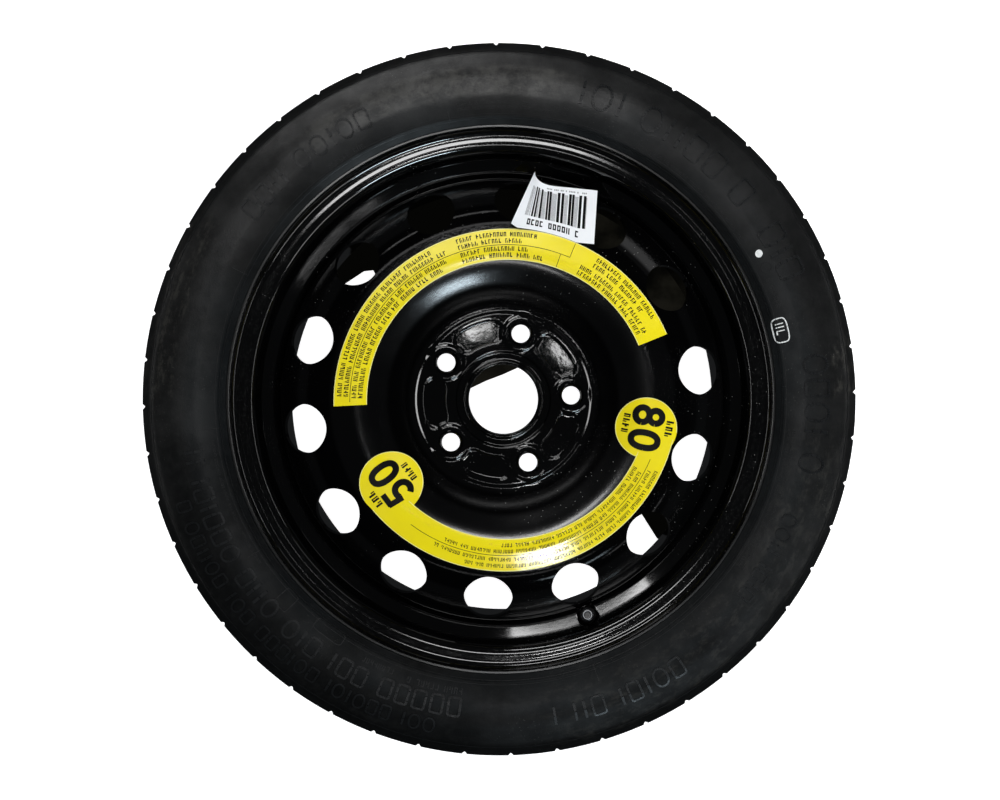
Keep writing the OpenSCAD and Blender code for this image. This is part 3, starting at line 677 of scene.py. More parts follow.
def tyre_outside():
    shoulder = TYRE_R - TREAD_DROP
    return [
        (shoulder, HALF_TREAD, 7),
        (shoulder - 9.5, SIDE_TOP - 4.5, 17),
        (shoulder - 28, SIDE_TOP, 40),
        (FLANGE_R + 22, SIDE_TOP, 30),
        (FLANGE_R + 6, SIDE_TOP - 3.4, 4),
        (FLANGE_R + 2, HALF_W + CURL + LIP + 1.2, 1),
        (FLANGE_R + 0.05, HALF_W + CURL + LIP, 0),
    ]


def tyre_half():
    """The tyre's section from the tread's middle round the bead and back inside, on the outer side."""
    tread = []
    for z0, z1 in ((2.9, 18.1), (23.9, 34)):
        tread += [(z0 - 0.9, "g"), (z0, "t"), ((z0 + z1) / 2, "t"), (z1, "t")]
        tread.append((z1 + 0.9, "g") if z1 < 20 else (z1 + 4, "t"))
    tread.append((42.5, "t"))
    pts = []
    for z, kind in tread:
        r = TYRE_R - TREAD_DROP * (z / HALF_TREAD) ** 2
        pts.append((r - (4.0 if kind == "g" else 0), z))
    last = pts[-1]
    outside = path([(last[0], last[1], 0), *tyre_outside()], 5, 4.5)
    bead = path([*rim_side()[:3], (seat(30.1), 30.1, 0)], 9, 8)
    inside = path(
        [
            (seat(30.1) + 0.05, 30.1, 0),
            (seat(30.1) + 4, 30.1, 1.5),
            (FLANGE_R - 4, HALF_W - 6.5, 14),
            (FLANGE_R + 13, HALF_SECTION - 6, 14),
            (TYRE_R - 24, HALF_SECTION - 6, 18),
            (TYRE_R - 12.2, HALF_TREAD - 1, 8),
            (TYRE_R - 10, 0, 0),
        ],
        12,
        14,
    )
    return np.concatenate([np.array(pts), outside[1:], shifted(bead, 0.05)[1:], inside[1:]])


def make_tyre():
    half = tyre_half()
    profile = np.concatenate([half, (half[:-1] * [1, -1])[::-1]])
    period = 2 * math.pi / NOTCHES
    offsets = np.radians([-0.85, -0.66, -0.4, 0.0, 0.4, 0.66, 0.85, 2.75, 4.75])
    angles = np.concatenate([(i + NOTCH_PHASE) * period + offsets for i in range(NOTCHES)])

    def notch(pts, rows):
        x, y, z = pts[:, 0], pts[:, 1], pts[:, 2]
        r = np.hypot(x, y)
        a = (np.arctan2(y, x) - NOTCH_PHASE * period + period / 2) % period - period / 2
        side = np.abs(r * np.sin(a))
        shoulder = TYRE_R - TREAD_DROP
        limit = shoulder - NOTCH_DEPTH + 1.55 * side
        inside = (np.abs(z) > HALF_TREAD - 14) & (r > 270)
        new_r = np.where(inside, np.minimum(r, limit), r)
        k = new_r / r
        return np.stack([x * k, y * k, z], 1)

    pts, faces = revolve(profile, angles, notch)
    ob = add_mesh("tyre_body", pts, faces, RUBBER, 40)
    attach(ob, "wheel")
    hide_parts("tyre")


SIDE = path([(TYRE_R - TREAD_DROP, 30, 0), *tyre_outside()], 3, 2)
SIDE = SIDE[(SIDE[:, 0] > FLANGE_R + 1) & (SIDE[:, 1] > 50)]
SIDE = SIDE[np.argsort(SIDE[:, 0])]


def side_z(r):
    return np.interp(r, SIDE[:, 0], SIDE[:, 1])


def relief(quads, height):
    """Raised marks on the sidewall: the tops of the quads with walls down into the rubber."""
    pts, faces = [], []
    for quad in quads:
        q = np.asarray(quad, float)
        n, base = len(q), len(pts)
        z = side_z(np.hypot(q[:, 0], q[:, 1]))
        middle = q.mean(0)
        inner = middle + (q - middle) * 0.9
        pts += np.column_stack([inner, z + height]).tolist() + np.column_stack([q, z - 0.3]).tolist()
        faces.append(tuple(base + k for k in range(n)))
        for k in range(n):
            j = (k + 1) % n
            faces.append((base + k, base + n + k, base + n + j, base + j))
    return pts, faces


def framed(place, s0, w, h, line, power=5, n=26):
    """The outline of a rounded block in a row."""
    edge = oval(s0 + w / 2, h / 2, w / 2, h / 2, n=n, power=power)
    return stroke([place(x, y) for x, y in edge], line, reach=9)


def block_row(first, last, r, h, line, seed, gap=0.3):
    """A row of plain raised outlines and bars round the sidewall, tops outwards, in groups."""
    rnd = random.Random(seed)
    place = arc_place((0, 0), r, first)
    length = math.radians(first - last) * r
    quads, s, left = [], 0.0, rnd.randint(3, 6)
    while s < length - 0.8 * h:
        kind = rnd.random()
        if kind < 0.25:
            w = 0.22 * h
            quads += stroke([place(s + w / 2, 0), place(s + w / 2, h)], line * 1.2, reach=9)
        elif kind < 0.55:
            w = 0.72 * h
            quads += framed(place, s, w, h, line, 2.2)
        else:
            w = 0.64 * h
            quads += framed(place, s, w, h, line, 7)
        s += w + gap * h
        left -= 1
        if left == 0:
            s, left = s + 0.55 * h, rnd.randint(3, 6)
    return quads


def ring_band(r, width, height, flip=1, steps=360):
    """A moulded ring round the sidewall."""
    profile = [(r - width / 2, -0.3), (r - width / 4, height), (r + width / 4, height), (r + width / 2, -0.3)]
    a = full_turn(steps)
    pts = [(q * math.cos(t), q * math.sin(t), flip * (side_z(q) + h)) for t in a for q, h in profile]
    return pts, [tuple(f) for f in grid_faces(len(profile), steps, False, True)]


def join(parts):
    """One mesh out of pairs of points and faces."""
    pts, faces = [], []
    for p, f in parts:
        base = len(pts)
        pts += list(p)
        faces += [tuple(k + base for k in face) for face in f]
    return pts, faces


# Raised rows: first and last angle, distance of the foot from the axis, height, line, seed
BLOCK_ROWS = (
    (144, 114, 240.0, 15.5, 1.9, 1),
    (76, 37, 242.5, 20.0, 2.1, 2),
    (33, 20, 242.5, 20.0, 2.1, 3),
    (8, -14, 242.5, 19.0, 2.1, 4),
    (262, 187, 239.5, 14.5, 2.0, 5),
    (258, 196, 259.0, 11.5, 1.5, 6),
    (304, 276, 247.5, 15.0, 1.7, 7),
    (-22, -44, 243.0, 12.0, 1.5, 8),
)
# Fine raised rows: first and last angle, distance of the foot from the axis, height, seed
FINE_ROWS = (
    (127, 118, 227.0, 4.4, 11),
    (99, 77, 235.2, 2.6, 12),
    (99, 77, 231.4, 2.6, 13),
    (62, 34, 229.0, 2.4, 14),
    (-6, -36, 233.5, 2.6, 15),
    (-6, -36, 229.6, 2.6, 16),
    (214, 188, 230.0, 2.4, 17),
    (262, 250, 232.0, 5.0, 18),
    (248, 241, 231.0, 4.4, 19),
    (24.5, 17, 231.0, 4.0, 20),
)
MOULD_LINES = (100.9, 154.1, 185.8, 211.8, 288.7)
MOULD_RINGS = ((224.4, 0.7, 0.3), (227.6, 0.6, 0.25), (278.2, 0.9, 0.3))
REAR_RING = (257.0, 1.2, MARK_H)


def make_tyre_marks():
    quads = []
    for first, last, r, h, line, seed in BLOCK_ROWS:
        quads += block_row(first, last, r, h, line, seed)
    parts = [relief(quads, MARK_H)]
    small = []
    for first, last, r, h, seed in FINE_ROWS:
        small += arc_row((0, 0), r, first, last, h, seed, 0.22)
    for a in MOULD_LINES:
        small += spoke_line((0, 0), a, 224, 237, 0.5)
    small += framed(arc_place((0, 0), 225.5, 236.5), 0, 26, 9, 0.7, 6, 40)
    small += framed(arc_place((0, 0), 225.8, 224.3), 0, 12, 15, 0.7, 8, 30)
    small += framed(arc_place((0, 0), 231.8, 27.6), 0, 8, 8, 0.6, 2, 30)
    parts.append(relief(small, MARK_H * 0.6))
    for flip in (1, -1):
        parts += [ring_band(r, w, h, flip) for r, w, h in MOULD_RINGS]
    parts.append(ring_band(*REAR_RING, flip=-1))
    pts, faces = join(parts)
    ob = add_mesh("tyre_moulded_marks", pts, faces, RUBBED, 20)
    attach(ob, "wheel")
    # Paint marks: a white dot and a white outline with unreadable print
    a = math.radians(29.7)
    dot = [oval(*on_circle((0, 0), 235.6, a), 3.1, 3.4, n=24, power=2)[:-1]]
    place = arc_place((0, 0), 223.6, 16.4)
    white = framed(place, 0, 19, 11.5, 1.0, 4, 40)
    white += fine_print(arc_place((0, 0), 225.8, 15.4), 13, 7, 31, 0.2, 0.3, (2, 2))
    pts, faces = relief(dot + white, MARK_H * 0.5)
    ob = add_mesh("tyre_paint_marks", pts, faces, MARK, 20)
    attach(ob, "wheel")


# Labels


def slab(name, top, rows, cols, height, thick, material, loop=False):
    """A film of that thickness under the grid of points top, lifted by height."""
    top = np.asarray(top, float)
    up, down = top + [0, 0, height + thick], top + [0, 0, height]
    n = len(top)
    f = grid_faces(rows, cols, False, loop)
    faces = [tuple(q) for q in f] + [tuple(q[::-1] + n) for q in f]

    def wall(line):
        return [(a, a + n, b + n, b) for a, b in zip(line[:-1], line[1:])]

    ends = [] if loop else [list(range(c * rows, c * rows + rows)) for c in (0, cols - 1)]
    ring = list(range(cols)) + ([0] if loop else [])
    for line in ([c * rows for c in ring], [c * rows + rows - 1 for c in ring], *ends):
        faces += wall(line)
    ob = add_mesh(name, np.concatenate([up, down]), faces, material, 30)
    fix_normals(ob)
    return ob


def fix_normals(ob):
    b = bmesh.new()
    b.from_mesh(ob.data)
    bmesh.ops.recalc_face_normals(b, faces=b.faces)
    b.to_mesh(ob.data)
    b.free()


def on_disc(x, y):
    return np.stack([x, y, face_z(np.hypot(x, y))], -1)


def band(name, centre_in, r_in, centre_out, r_out, a0, a1):
    """A film band between two arcs that don't quite share a centre."""
    rows, cols = 15, 181
    pts = []
    for a in np.radians(np.linspace(a0, a1, cols)):
        inner, outer = (np.array(on_circle(*arc, a)) for arc in ((centre_in, r_in), (centre_out, r_out)))
        for k in range(rows):
            q = inner + (outer - inner) * k / (rows - 1)
            pts.append(on_disc(*q))
    return slab(name, pts, rows, cols, 0.05, FILM_T, YELLOW)


def round_end(name, centre, r):
    """A round film, laid over the end of a band."""
    rows, cols = 16, 96
    pts = []
    for j in range(cols):
        for k in range(rows):
            q = r * max(0.001, k / (rows - 1))
            pts.append(on_disc(*on_circle(centre, q, 2 * math.pi * j / cols)))
    return slab(name, pts, rows, cols, 0.07, FILM_T, YELLOW, loop=True)


# Films: centres and radii of their arcs, first and last angle, and the round ends
FILM_T = 0.2
UPPER_IN, UPPER_IN_R = (4.5, -1.7), 115.4
UPPER_OUT, UPPER_OUT_R = (3.9, -2.4), 141.4
UPPER_SPAN = 23.2, 181.4
LOWER_IN, LOWER_IN_R = (2.8, 2.5), 116.5
LOWER_OUT, LOWER_OUT_R = (2.0, 0.8), 141.1
LOWER_SPAN = 217, 348.8
END_50, END_50_R = (-91.3, -68.3), 25.6
END_80, END_80_R = (117.2, -23.6), 25.0


def patch(pieces, material, name, lift):
    """Print: each piece is a list of 2-D outlines' corner points on the disc, made into flat patches."""
    pts, faces = [], []
    for quad in pieces:
        q = np.asarray(quad, float)
        faces.append(tuple(range(len(pts), len(pts) + len(q))))
        pts += (on_disc(q[:, 0], q[:, 1]) + [0, 0, lift]).tolist()
    return add_mesh(name, pts, faces, material, 30)


def stroke(points, width, strips=1, reach=1.2):
    """Quads along a 2-D path, split into strips across it."""
    rough = np.asarray(points, float)
    line = [rough[0]]
    for q in rough[1:]:
        n = max(1, math.ceil(np.linalg.norm(q - line[-1]) / reach))
        line += list(np.linspace(line[-1], q, n + 1)[1:])
    p = np.array(line)
    t = np.gradient(p, axis=0)
    t /= np.linalg.norm(t, axis=1)[:, None]
    n = np.stack([-t[:, 1], t[:, 0]], 1) * width
    rails = [p + n * (k / strips - 0.5) for k in range(strips + 1)]
    return [
        [rails[k + 1][i], rails[k][i], rails[k][i + 1], rails[k + 1][i + 1]]
        for k in range(strips)
        for i in range(len(p) - 1)
    ]


def finer(quads, n):
    """Four-cornered pieces split into n by n, so that they follow the curved film."""
    out = []
    for a, b, c, d in quads:
        a, b, c, d = (np.asarray(q, float) for q in (a, b, c, d))

        def at(i, j):
            u, v = i / n, j / n
            return (a * (1 - u) + b * u) * (1 - v) + (d * (1 - u) + c * u) * v

        for i in range(n):
            out += [[at(i, j), at(i + 1, j), at(i + 1, j + 1), at(i, j + 1)] for j in range(n)]
    return out


def oval(cx, cy, rx, ry, a0=0.0, a1=360.0, n=28, power=2.5):
    out = []
    for a in np.radians(np.linspace(a0, a1, n)):
        x, y = (math.copysign(abs(v) ** (2 / power), v) for v in (math.cos(a), math.sin(a)))
        out.append((cx + rx * x, cy + ry * y))
    return out


def figure(digit):
    """Strokes of a bold figure in a box 12 wide and 18 high round the origin."""
    w = 3.5
    if digit == "0":
        return [(oval(0, 0, 4.1, 7.25, n=48, power=2.3), w)]
    if digit == "8":
        return [(oval(0, 3.75, 3.5, 3.5, n=36, power=2), w), (oval(0, -3.55, 4.0, 3.7, n=36, power=2), w)]
    bowl = oval(-0.1, -3.0, 4.1, 4.25, 126, -145, 40, 2.1)
    return [([(4.3, 7.35), (-3.3, 7.35)], 3.3), ([(-2.6, 8.4), (-3.2, 3.0), (-3.6, -0.6)], 3.2), (bowl, w)]


def figures(text, at, turn, size):
    """Bold figures, turned by an angle, their middle at a point."""
    quads = []
    step = 13.4 * size
    c, s = math.cos(turn), math.sin(turn)
    for i, d in enumerate(text):
        off = (i - (len(text) - 1) / 2) * step
        for line, width in figure(d):
            moved = []
            for x, y in line:
                px, py = off + x * size, y * size
                moved.append((at[0] + px * c - py * s, at[1] + px * s + py * c))
            quads += stroke(moved, width * size, 5)
    return quads


def fine_print(place, length, height, seed, weight=0.16, gap=0.25, words=(3, 9)):
    """Small unreadable marks in a row. place(s, h) gives the point at s along the row and height h."""
    rnd = random.Random(seed)
    quads = []
    s = 0.0
    wide = height * 0.62
    while s < length - 2 * wide:
        for _ in range(rnd.randint(*words)):
            kind = rnd.random()
            marks = [(0.0, 0.0, weight, 1.0)]
            bar = 0.75 * weight
            if kind < 0.4:
                marks.append((0.0, rnd.choice([0.0, 0.4, 0.8]), 0.8, bar))
            if kind > 0.3:
                marks.append((0.62, 0.0, weight, rnd.choice([0.55, 1.0])))
            if kind > 0.7:
                marks.append((0.1, 0.8, 0.6, bar))
            for x, y, w, h in marks:
                x0, x1 = s + x * wide, s + min(x + w, 0.9) * wide
                y0, y1 = y * height, min(1.0, y + h) * height
                quads.append([place(x0, y0), place(x1, y0), place(x1, y1), place(x0, y1)])
            s += wide * (1 + gap)
            if s > length - wide:
                break
        s += wide * 1.1
    return quads


def arc_place(centre, r, start):
    """Places for a row that runs clockwise along an arc, with its tops outwards."""

    def place(s, h):
        return on_circle(centre, r + h, math.radians(start) - s / r)

    return place


def arc_row(centre, r, first, last, height, seed, weight):
    """A row of print along an arc, clockwise from one angle to another."""
    return fine_print(arc_place(centre, r, first), math.radians(first - last) * r, height, seed, weight)


def flat_place(at, turn, length, rise):
    """A straight row of print whose middle is over or under a point."""
    c, s = math.cos(turn), math.sin(turn)

    def place(along, h):
        x, y = along - length / 2, rise + h
        return (at[0] + x * c - y * s, at[1] + x * s + y * c)

    return place


def arc_line(centre, r, a0, a1, width):
    """A thin printed line along an arc."""
    t = np.radians(np.linspace(a0, a1, max(2, int(abs(a1 - a0)))))
    return stroke([on_circle(centre, r, a) for a in t], width)


def spoke_line(centre, angle, r0, r1, width):
    return stroke([on_circle(centre, r, math.radians(angle)) for r in (r0, r1)], width)


# Rows of print on the films: height of the letters, and distance of the feet from the outer arc's middle
UPPER_PRINT_H, UPPER_ROWS = 3.6, (118.4, 123.4, 129.8, 135.1)
# Panels of print on the upper film: first and last angle of each row, clockwise
UPPER_PANELS = (
    ((178.5, 116), (178.5, 113), (178.0, 112), (178.0, 116)),
    ((108, 76), (108, 82), (108, 84), (108, 80)),
    ((62, 27), (62, 26), (58, 33), (58, 30)),
)
# The lower film has one panel: distance, first and last angle of each row
LOWER_PRINT_H = 3.0
LOWER_ROWS = ((118.4, 332, 268), (123.4, 331, 246), (130.0, 333, 243), (135.2, 334, 255))
# Printed lines: centre, radius, first and last angle of arcs, and centre, angle and both radii of spokes
PRINTED_ARCS = (
    (UPPER_OUT, 128.3, 180, 70.5),
    (UPPER_OUT, 128.3, 70.5, 67),
    (LOWER_OUT, 128.2, 337, 233),
)
PRINTED_SPOKES = ((UPPER_OUT, 67, 128.3, 140.8), (UPPER_OUT, 70.5, 116, 128.3))
# Pale cut edges of the films
PALE_EDGES = (
    (UPPER_OUT, UPPER_OUT_R - 0.3, 23.4, 181.2),
    (UPPER_IN, UPPER_IN_R + 0.3, 23.4, 181.2),
    (LOWER_OUT, LOWER_OUT_R - 0.3, 220, 346),
    (LOWER_IN, LOWER_IN_R + 0.3, 227, 337),
    (END_50, END_50_R - 0.3, -28, 213),
    (END_80, END_80_R - 0.3, -9, 249),
)
PRINT_LINE, PALE_LINE = 0.45, 0.5
# How far the print, the pale edges and the bold figures lie over the disc
PRINT_LIFT, EDGE_LIFT, FIGURE_LIFT = 0.3, 0.31, 0.42


def make_labels():
    upper = band("upper_label_film", UPPER_IN, UPPER_IN_R, UPPER_OUT, UPPER_OUT_R, *UPPER_SPAN)
    lower = band("lower_label_film", LOWER_IN, LOWER_IN_R, LOWER_OUT, LOWER_OUT_R, *LOWER_SPAN)
    left = round_end("lower_label_left_end", END_50, END_50_R)
    right = round_end("lower_label_right_end", END_80, END_80_R)
    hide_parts("upper_label")
    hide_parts("lower_label")
    for ob in (upper, lower, left, right):
        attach(ob, "wheel")
    bold, fine = [], []
    for text, at, grow in (("50", END_50, 1.46), ("80", END_80, 1.5)):
        turn = math.atan2(at[1], at[0]) - math.pi / 2
        bold += figures(text, at, turn, grow)
        # An unreadable word over the figures and one under them: length, rise, height, seed and letters
        over = (18.5, 9.5 * grow + 0.9, 5.9, 3, 3)
        under = (17.5, -9.5 * grow - 5.4, 5.2, 4, 4)
        for length, rise, h, seed, letters in (over, under):
            place = flat_place(at, turn, length, rise)
            bold += finer(fine_print(place, length, h, seed, 0.45, 0.3, (letters, letters)), 4)
    ink = patch(bold, INK, "label_figures", FIGURE_LIFT)
    for p, panel in enumerate(UPPER_PANELS):
        for k, (r, (first, last)) in enumerate(zip(UPPER_ROWS, panel)):
            fine += arc_row(UPPER_OUT, r, first, last, UPPER_PRINT_H, 10 * p + k, 0.36)
    for k, (r, first, last) in enumerate(LOWER_ROWS):
        fine += arc_row(LOWER_OUT, r, first, last, LOWER_PRINT_H, 50 + k, 0.3)
    for arc in PRINTED_ARCS:
        fine += arc_line(*arc, PRINT_LINE)
    for spoke in PRINTED_SPOKES:
        fine += spoke_line(*spoke, PRINT_LINE)
    small = patch(fine, INK, "label_fine_print", PRINT_LIFT)
    pale = [quad for edge in PALE_EDGES for quad in arc_line(*edge, PALE_LINE)]
    trim = patch(pale, FILM_EDGE, "label_pale_edges", EDGE_LIFT)
    for ob in (ink, small, trim):
        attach(ob, "wheel")


# Paper label: its middle lies on an arc round PAPER_CENTRE, and its left end curls up
PAPER_CENTRE = np.array([4.2, -2.0])
PAPER_ANCHOR = np.array(on_circle(PAPER_CENTRE, 140.9, math.radians(69.5)))
PAPER_TURN = math.radians(-4.7)
PAPER_LEFT, PAPER_W, PAPER_FOOT, PAPER_H, PAPER_FOOT_R = -48.2, 68.8, -1.6, 46, 141.2
# The curled corner moves up, to the right and off the disc by these
CURL_UP, CURL_ACROSS, CURL_OFF = 9.9, 15.7, 15


def paper_flat(u, v):
    """Where shares u of the width and v of the height lie, and how far the label curls there."""
    curl = max(0.0, 1 - u / 0.5) ** 2
    a = PAPER_LEFT + PAPER_W * u
    arc = PAPER_CENTRE - PAPER_ANCHOR
    c, s = math.cos(PAPER_TURN), math.sin(PAPER_TURN)
    arc = (arc[0] * c + arc[1] * s, arc[1] * c - arc[0] * s)
    foot = arc[1] + math.sqrt(max(0, PAPER_FOOT_R**2 - (a - arc[0]) ** 2))
    low = max(PAPER_FOOT + CURL_UP * curl, foot)
    high = PAPER_FOOT + PAPER_H + 0.75 * CURL_UP * curl
    return a + CURL_ACROSS * v * curl, low + (high - low) * v, curl


def paper_point(u, v, lift=0.0):
    a, b, curl = paper_flat(u, v)
    c, s = math.cos(PAPER_TURN), math.sin(PAPER_TURN)
    x = PAPER_ANCHOR[0] + a * c - b * s
    y = PAPER_ANCHOR[1] + a * s + b * c
    r = math.hypot(x, y)
    begin = CROWN_OUT - CROWN_BEND * math.tan(WEB / 2)
    end = begin + CROWN_BEND * math.sin(WEB / 2)
    t = min(max(r, begin), end) - begin
    drop = CROWN_BEND - math.sqrt(CROWN_BEND**2 - t * t) + max(0, r - end) * math.tan(WEB / 2)
    return (x, y, CROWN_Z + 0.3 - drop + CURL_OFF * curl * (0.4 + 0.6 * v) + lift)


# Pairs of dark bars and blocks of faint ones on the paper label, as shares of its width
DARK_BARS = (
    (0.205, 0.02), (0.243, 0.02), (0.305, 0.024), (0.395, 0.02), (0.428, 0.024), (0.53, 0.028),
    (0.578, 0.026), (0.668, 0.026), (0.706, 0.022), (0.79, 0.028), (0.845, 0.026),
)
FAINT_BARS = (
    (0.115, 0.165, 7), (0.172, 0.19, 3), (0.27, 0.295, 4), (0.335, 0.385, 6),
    (0.458, 0.52, 8), (0.612, 0.655, 6), (0.735, 0.78, 6), (0.874, 0.886, 2),
)


def paper_print():
    dark = [(u - 0.003, u + w + 0.003, 0.26, 0.87) for u, w in DARK_BARS]
    grey = []
    for first, last, count in FAINT_BARS:
        pitch = (last - first) / count
        grey += [(first + k * pitch, first + (k + 0.55) * pitch, 0.26, 0.84) for k in range(count)]
    rnd = random.Random(5)
    u = 0.17
    for k in range(12):
        if k not in (4, 10):
            kind = rnd.choice([0, 1, 2])
            dark.append((u, u + 0.015, 0.085, 0.205))
            if kind != 1:
                dark.append((u + 0.026, u + 0.041, 0.085, 0.205))
            if kind != 0:
                dark += [(u + 0.01, u + 0.036, 0.085, 0.113), (u + 0.01, u + 0.036, 0.177, 0.205)]
        u += 0.054
    for k in range(26):
        u = 0.36 + 0.02 * k
        if rnd.random() < 0.7:
            grey.append((u, u + 0.012, 0.905, 0.935))
    return dark, grey


def make_paper():
    rows, cols = 33, 61
    top = [paper_point(j / (cols - 1), i / (rows - 1)) for j in range(cols) for i in range(rows)]
    ob = slab("paper_label_sheet", top, rows, cols, 0.0, 0.18, WHITE)
    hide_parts("paper_label")
    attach(ob, "wheel")
    dark, grey = paper_print()
    steps = 8
    for material, bars, name in ((INK, dark, "paper_dark_bars"), (GREY_INK, grey, "paper_fine_bars")):
        pts, faces = [], []
        for u0, u1, v0, v1 in bars:
            faces += [(k, k + 1, k + 3, k + 2) for k in range(len(pts), len(pts) + 2 * steps, 2)]
            for v in np.linspace(v0, v1, steps + 1):
                pts += [paper_point(u0, v, 0.24), paper_point(u1, v, 0.24)]
        bar = add_mesh(name, pts, faces, material)
        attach(bar, "wheel")


def make_cap():
    """The cap with its rounded shoulder, flutes and sunken top, and a pale ring on its top edge that is a
    painted highlight.
    """
    low, top, r = CAP_LOW, CAP_TOP, CAP_D / 2
    corners = [
        (CAP_BORE_R, low, 0),
        (r, low, 0.3),
        (r, top, 1.5),
        (2.9, top, 0.25),
        (2.5, top - 0.5, 0.3),
        (0.02, top - 0.5, 0),
    ]
    outer = path(corners, 12, 0.7)
    inner = np.array([(0.02, CAP_BORE_TOP), (CAP_BORE_R, CAP_BORE_TOP)])
    profile = np.concatenate([outer, inner])
    angles = full_turn(144)

    def flute(pts, rows):
        a = np.arctan2(pts[:, 1], pts[:, 0])
        reach = np.hypot(pts[:, 0], pts[:, 1])
        side = (reach > r - 0.8) & (pts[:, 2] < top - 1.7)
        depth = 0.3 * np.maximum(0, np.cos(12 * a)) ** 4
        k = np.where(side, 1 - depth / np.maximum(reach, 1e-6), 1)
        return np.stack([pts[:, 0] * k, pts[:, 1] * k, pts[:, 2]], 1)

    pts, faces = revolve(profile, angles, flute)
    ob = add_mesh("valve_cap_shell", valve_place(pts), faces, CAP, 35)
    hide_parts("valve_cap")
    # A pale ring on the top edge: a painted highlight where light catches the cap's rim
    turns = full_turn(9)
    ring = np.array([(3.35 + 0.42 * math.cos(t), top - 0.1 + 0.22 * math.sin(t)) for t in turns])
    pts, faces = revolve(ring, full_turn(72))
    highlight_ring = add_mesh("valve_cap_highlight_ring", valve_place(pts), faces, CAP_EDGE_HIGHLIGHT)
    for piece in (ob, highlight_ring):
        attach(piece, "valve_cap")


def make_spring():
    """The core's spring as a round coil."""
    low, high = SPRING_LOW, SPRING_HIGH
    coil_r, wire_r = SPRING_D / 2 - SPRING_WIRE / 2, SPRING_WIRE / 2
    rings, sides = SPRING_TURNS * 30, 12
    a = full_turn(sides)
    pts = []
    for k in np.linspace(0, 1, rings + 1):
        turn = 2 * math.pi * SPRING_TURNS * k
        r = coil_r + wire_r * np.cos(a)
        z = low + wire_r + (high - low - 2 * wire_r) * k + wire_r * np.sin(a)
        pts.append(np.stack([r * math.cos(turn), r * math.sin(turn), z], 1))
    pts = np.concatenate(pts)
    faces = outward(pts, grid_faces(sides, rings + 1, True, False)).tolist()
    ends = [tuple(range(sides)), tuple(range(rings * sides, (rings + 1) * sides))]
    ob = add_mesh("core_spring_coil", valve_place(pts), faces + ends, STEEL, 50)
    fix_normals(ob)
    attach(ob, "wheel")
    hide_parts("core_spring")
    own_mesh(ob)


# CAD pieces that are shown as they are
FINISH = {
    "weld_beads": WELD,
    "valve_body": VALVE_RUBBER,
    "valve_stem": BRASS,
    "core_plug": BRASS,
    "core_barrel": BRASS,
    "core_gasket": NYLON,
    "core_pin": STEEL,
    "core_cup": BRASS,
    "core_cup_seal": SEAL,
    "valve_cap_seal": SEAL,
}
for name, material in FINISH.items():
    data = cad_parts[name].data
    data.materials.clear()
    data.materials.append(material)

make_rim()
make_disc()
make_tyre()
make_tyre_marks()
make_cap()
make_spring()
make_labels()
make_paper()

# Floor, light and camera

# Millimetres of floor for each pixel of the photograph, and the pixel that the wheel's axis falls on
FLOOR_SCALE, AXIS_X, AXIS_Y = 0.919, 503.5, 399.2
WALL_R, WALL_TOP, WALL_SIDES = 5000.0, 5000.0, 96
FLOOR_SHADE_R = 208.0
# Lit notch in the edge of the large shadow, in pixels of the photograph
FLOOR_NOTCH = ((338, 290), (365, 272), (374, 271), (386, 292))
# Outlines of the smaller shadows, in pixels of the photograph: in the bore and in one of the lower vents
FLOOR_SHADES = (
    ((455, 395), (468, 389.6), (486, 381), (503, 374.5), (517, 368.2), (524, 357), (515, 348), (460, 348)),
    ((640.5, 512), (657.3, 538.5), (690, 565), (700, 512)),
)


def floor_point(x, y):
    return ((x - AXIS_X) * FLOOR_SCALE, (AXIS_Y - y) * FLOOR_SCALE)


def make_floor():
    m, t, s = nodes_of("floor")
    pale = mix_colour(t, noise(t, 3, 2), (0.86, 0.86, 0.86), (0.9, 0.9, 0.9))
    feed(t, s, Base_Color=pale, Roughness=0.8, Emission_Color=(1, 1, 1), Emission_Strength=1.0)
    z = -HALF_SECTION - 0.5
    # The floor runs into a round wall, so that a low view is white behind the wheel too
    turns = full_turn(WALL_SIDES)
    ring = [on_circle((0, 0), WALL_R, a) for a in turns]
    pts = [(*q, z) for q in ring] + [(*q, WALL_TOP) for q in ring]
    faces = [tuple(range(WALL_SIDES))]
    for i in range(WALL_SIDES):
        j = (i + 1) % WALL_SIDES
        faces.append((i, WALL_SIDES + i, WALL_SIDES + j, j))
    floor = add_mesh("floor", pts, faces, m)
    floor.visible_diffuse = False
    floor.visible_glossy = False
    # Parts of the floor that lie in shadow and show through the holes only
    shade, t, s = nodes_of("floor_in_shadow")
    x, y = flat_coords(t)
    lit = maths(t, "MAXIMUM", ramp(t, x, 0.01, 0.06), ramp(t, y, 0.08, 0.04))
    lit = times(t, lit, ramp(t, y, -0.1, -0.02))
    pale = times(t, ramp(t, noise(t, 30, 5), 0.35, 0.7), lit)
    tone = mix_colour(t, pale, (0.0015, 0.0015, 0.0012), (0.0085, 0.008, 0.006))
    feed(t, s, Base_Color=(0, 0, 0), Specular_IOR_Level=0, Emission_Color=tone, Emission_Strength=1.0)
    outer = [on_circle((0, 0), FLOOR_SHADE_R, a) for a in np.radians(np.linspace(20.5, 147.0, 40))]
    outer += [floor_point(*q) for q in FLOOR_NOTCH]
    shapes = [outer, *[[floor_point(*q) for q in shape] for shape in FLOOR_SHADES]]
    pts, faces = [], []
    for shape in shapes:
        faces.append(tuple(range(len(pts), len(pts) + len(shape))))
        pts += [(x, y, z + 0.2) for x, y in shape]
    add_mesh("floor_in_shadow", pts, faces, shade)


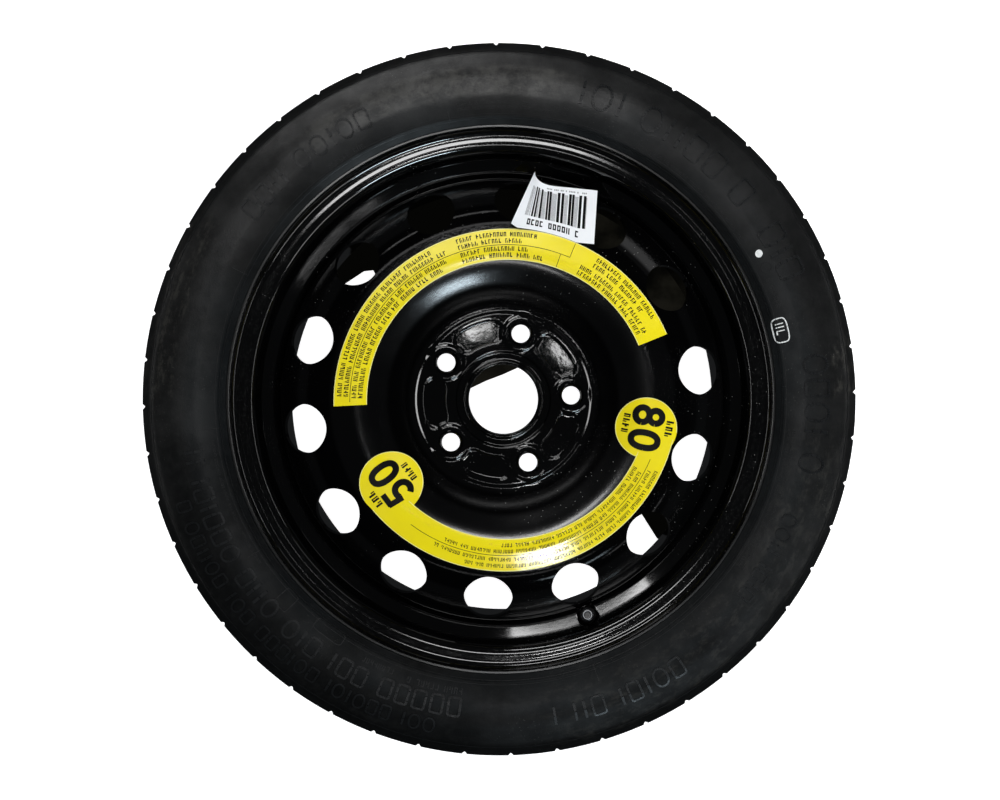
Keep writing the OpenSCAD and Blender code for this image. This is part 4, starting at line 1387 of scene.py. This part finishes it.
def area_light(name, azimuth, zenith, distance, size, power, colour=(1, 1, 1), glossy=True):
    a, t = math.radians(azimuth), math.radians(zenith)
    light = bpy.data.lights.new(name, "AREA")
    light.shape = "RECTANGLE"
    light.size, light.size_y = size
    light.energy = power
    light.color = colour
    ob = bpy.data.objects.new(name, light)
    direction = Vector((math.sin(t) * math.cos(a), math.sin(t) * math.sin(a), math.cos(t)))
    ob.location = direction * distance
    ob.rotation_euler = direction.to_track_quat("Z", "Y").to_euler()
    ob.visible_camera = False
    ob.visible_glossy = glossy
    bpy.context.scene.collection.objects.link(ob)


make_floor()
# Name, azimuth, angle from the vertical, distance, size, power and colour
area_light("window", 110, 54.5, 2.4, (1.3, 0.18), 12)
area_light("window_low", 44, 65, 2.4, (0.8, 0.3), 0.5)
area_light("lamp", 293, 43, 2.4, (0.62, 0.2), 15, (0.76, 0.91, 1.0))
area_light("lamp_low", 316, 54, 2.4, (0.9, 0.16), 3.5)
area_light("ceiling_near", 273, 20, 2.6, (0.9, 0.12), 3.5)
area_light("ceiling_far", 102, 17, 2.6, (1.0, 0.24), 11)
area_light("ceiling_lamp", 110, 5.6, 2.4, (0.085, 0.03), 0.14)
area_light("ceiling_lamp_right", 38, 5.6, 2.4, (0.1, 0.025), 0.1)
area_light("ceiling_glare", 285, 11.7, 2.4, (0.14, 0.08), 2.2)
area_light("side_left", 183, 72, 2.4, (2.4, 0.08), 5)
area_light("side_right", 2, 72, 2.4, (2.4, 0.08), 4)
area_light("fill", 32, 48, 0.87, (0.4, 0.4), 3.0, glossy=False)

world = bpy.data.worlds.new("room")
world.use_nodes = True
feed(world.node_tree, world.node_tree.nodes["Background"], Color=(0.9, 0.95, 1.0), Strength=0.03)
scene = bpy.context.scene
scene.world = world
scene.view_settings.view_transform = "Standard"

camera_data = bpy.data.cameras.new("camera")
camera_data.lens = 36
camera_data.sensor_width = 36
camera_data.shift_x = -0.0375
camera_data.shift_y = -0.0008
camera = bpy.data.objects.new("camera", camera_data)
camera.location = (0, 0, 0.856)
camera.rotation_euler = (0, -math.radians(1.95), 0)
scene.collection.objects.link(camera)
scene.camera = camera
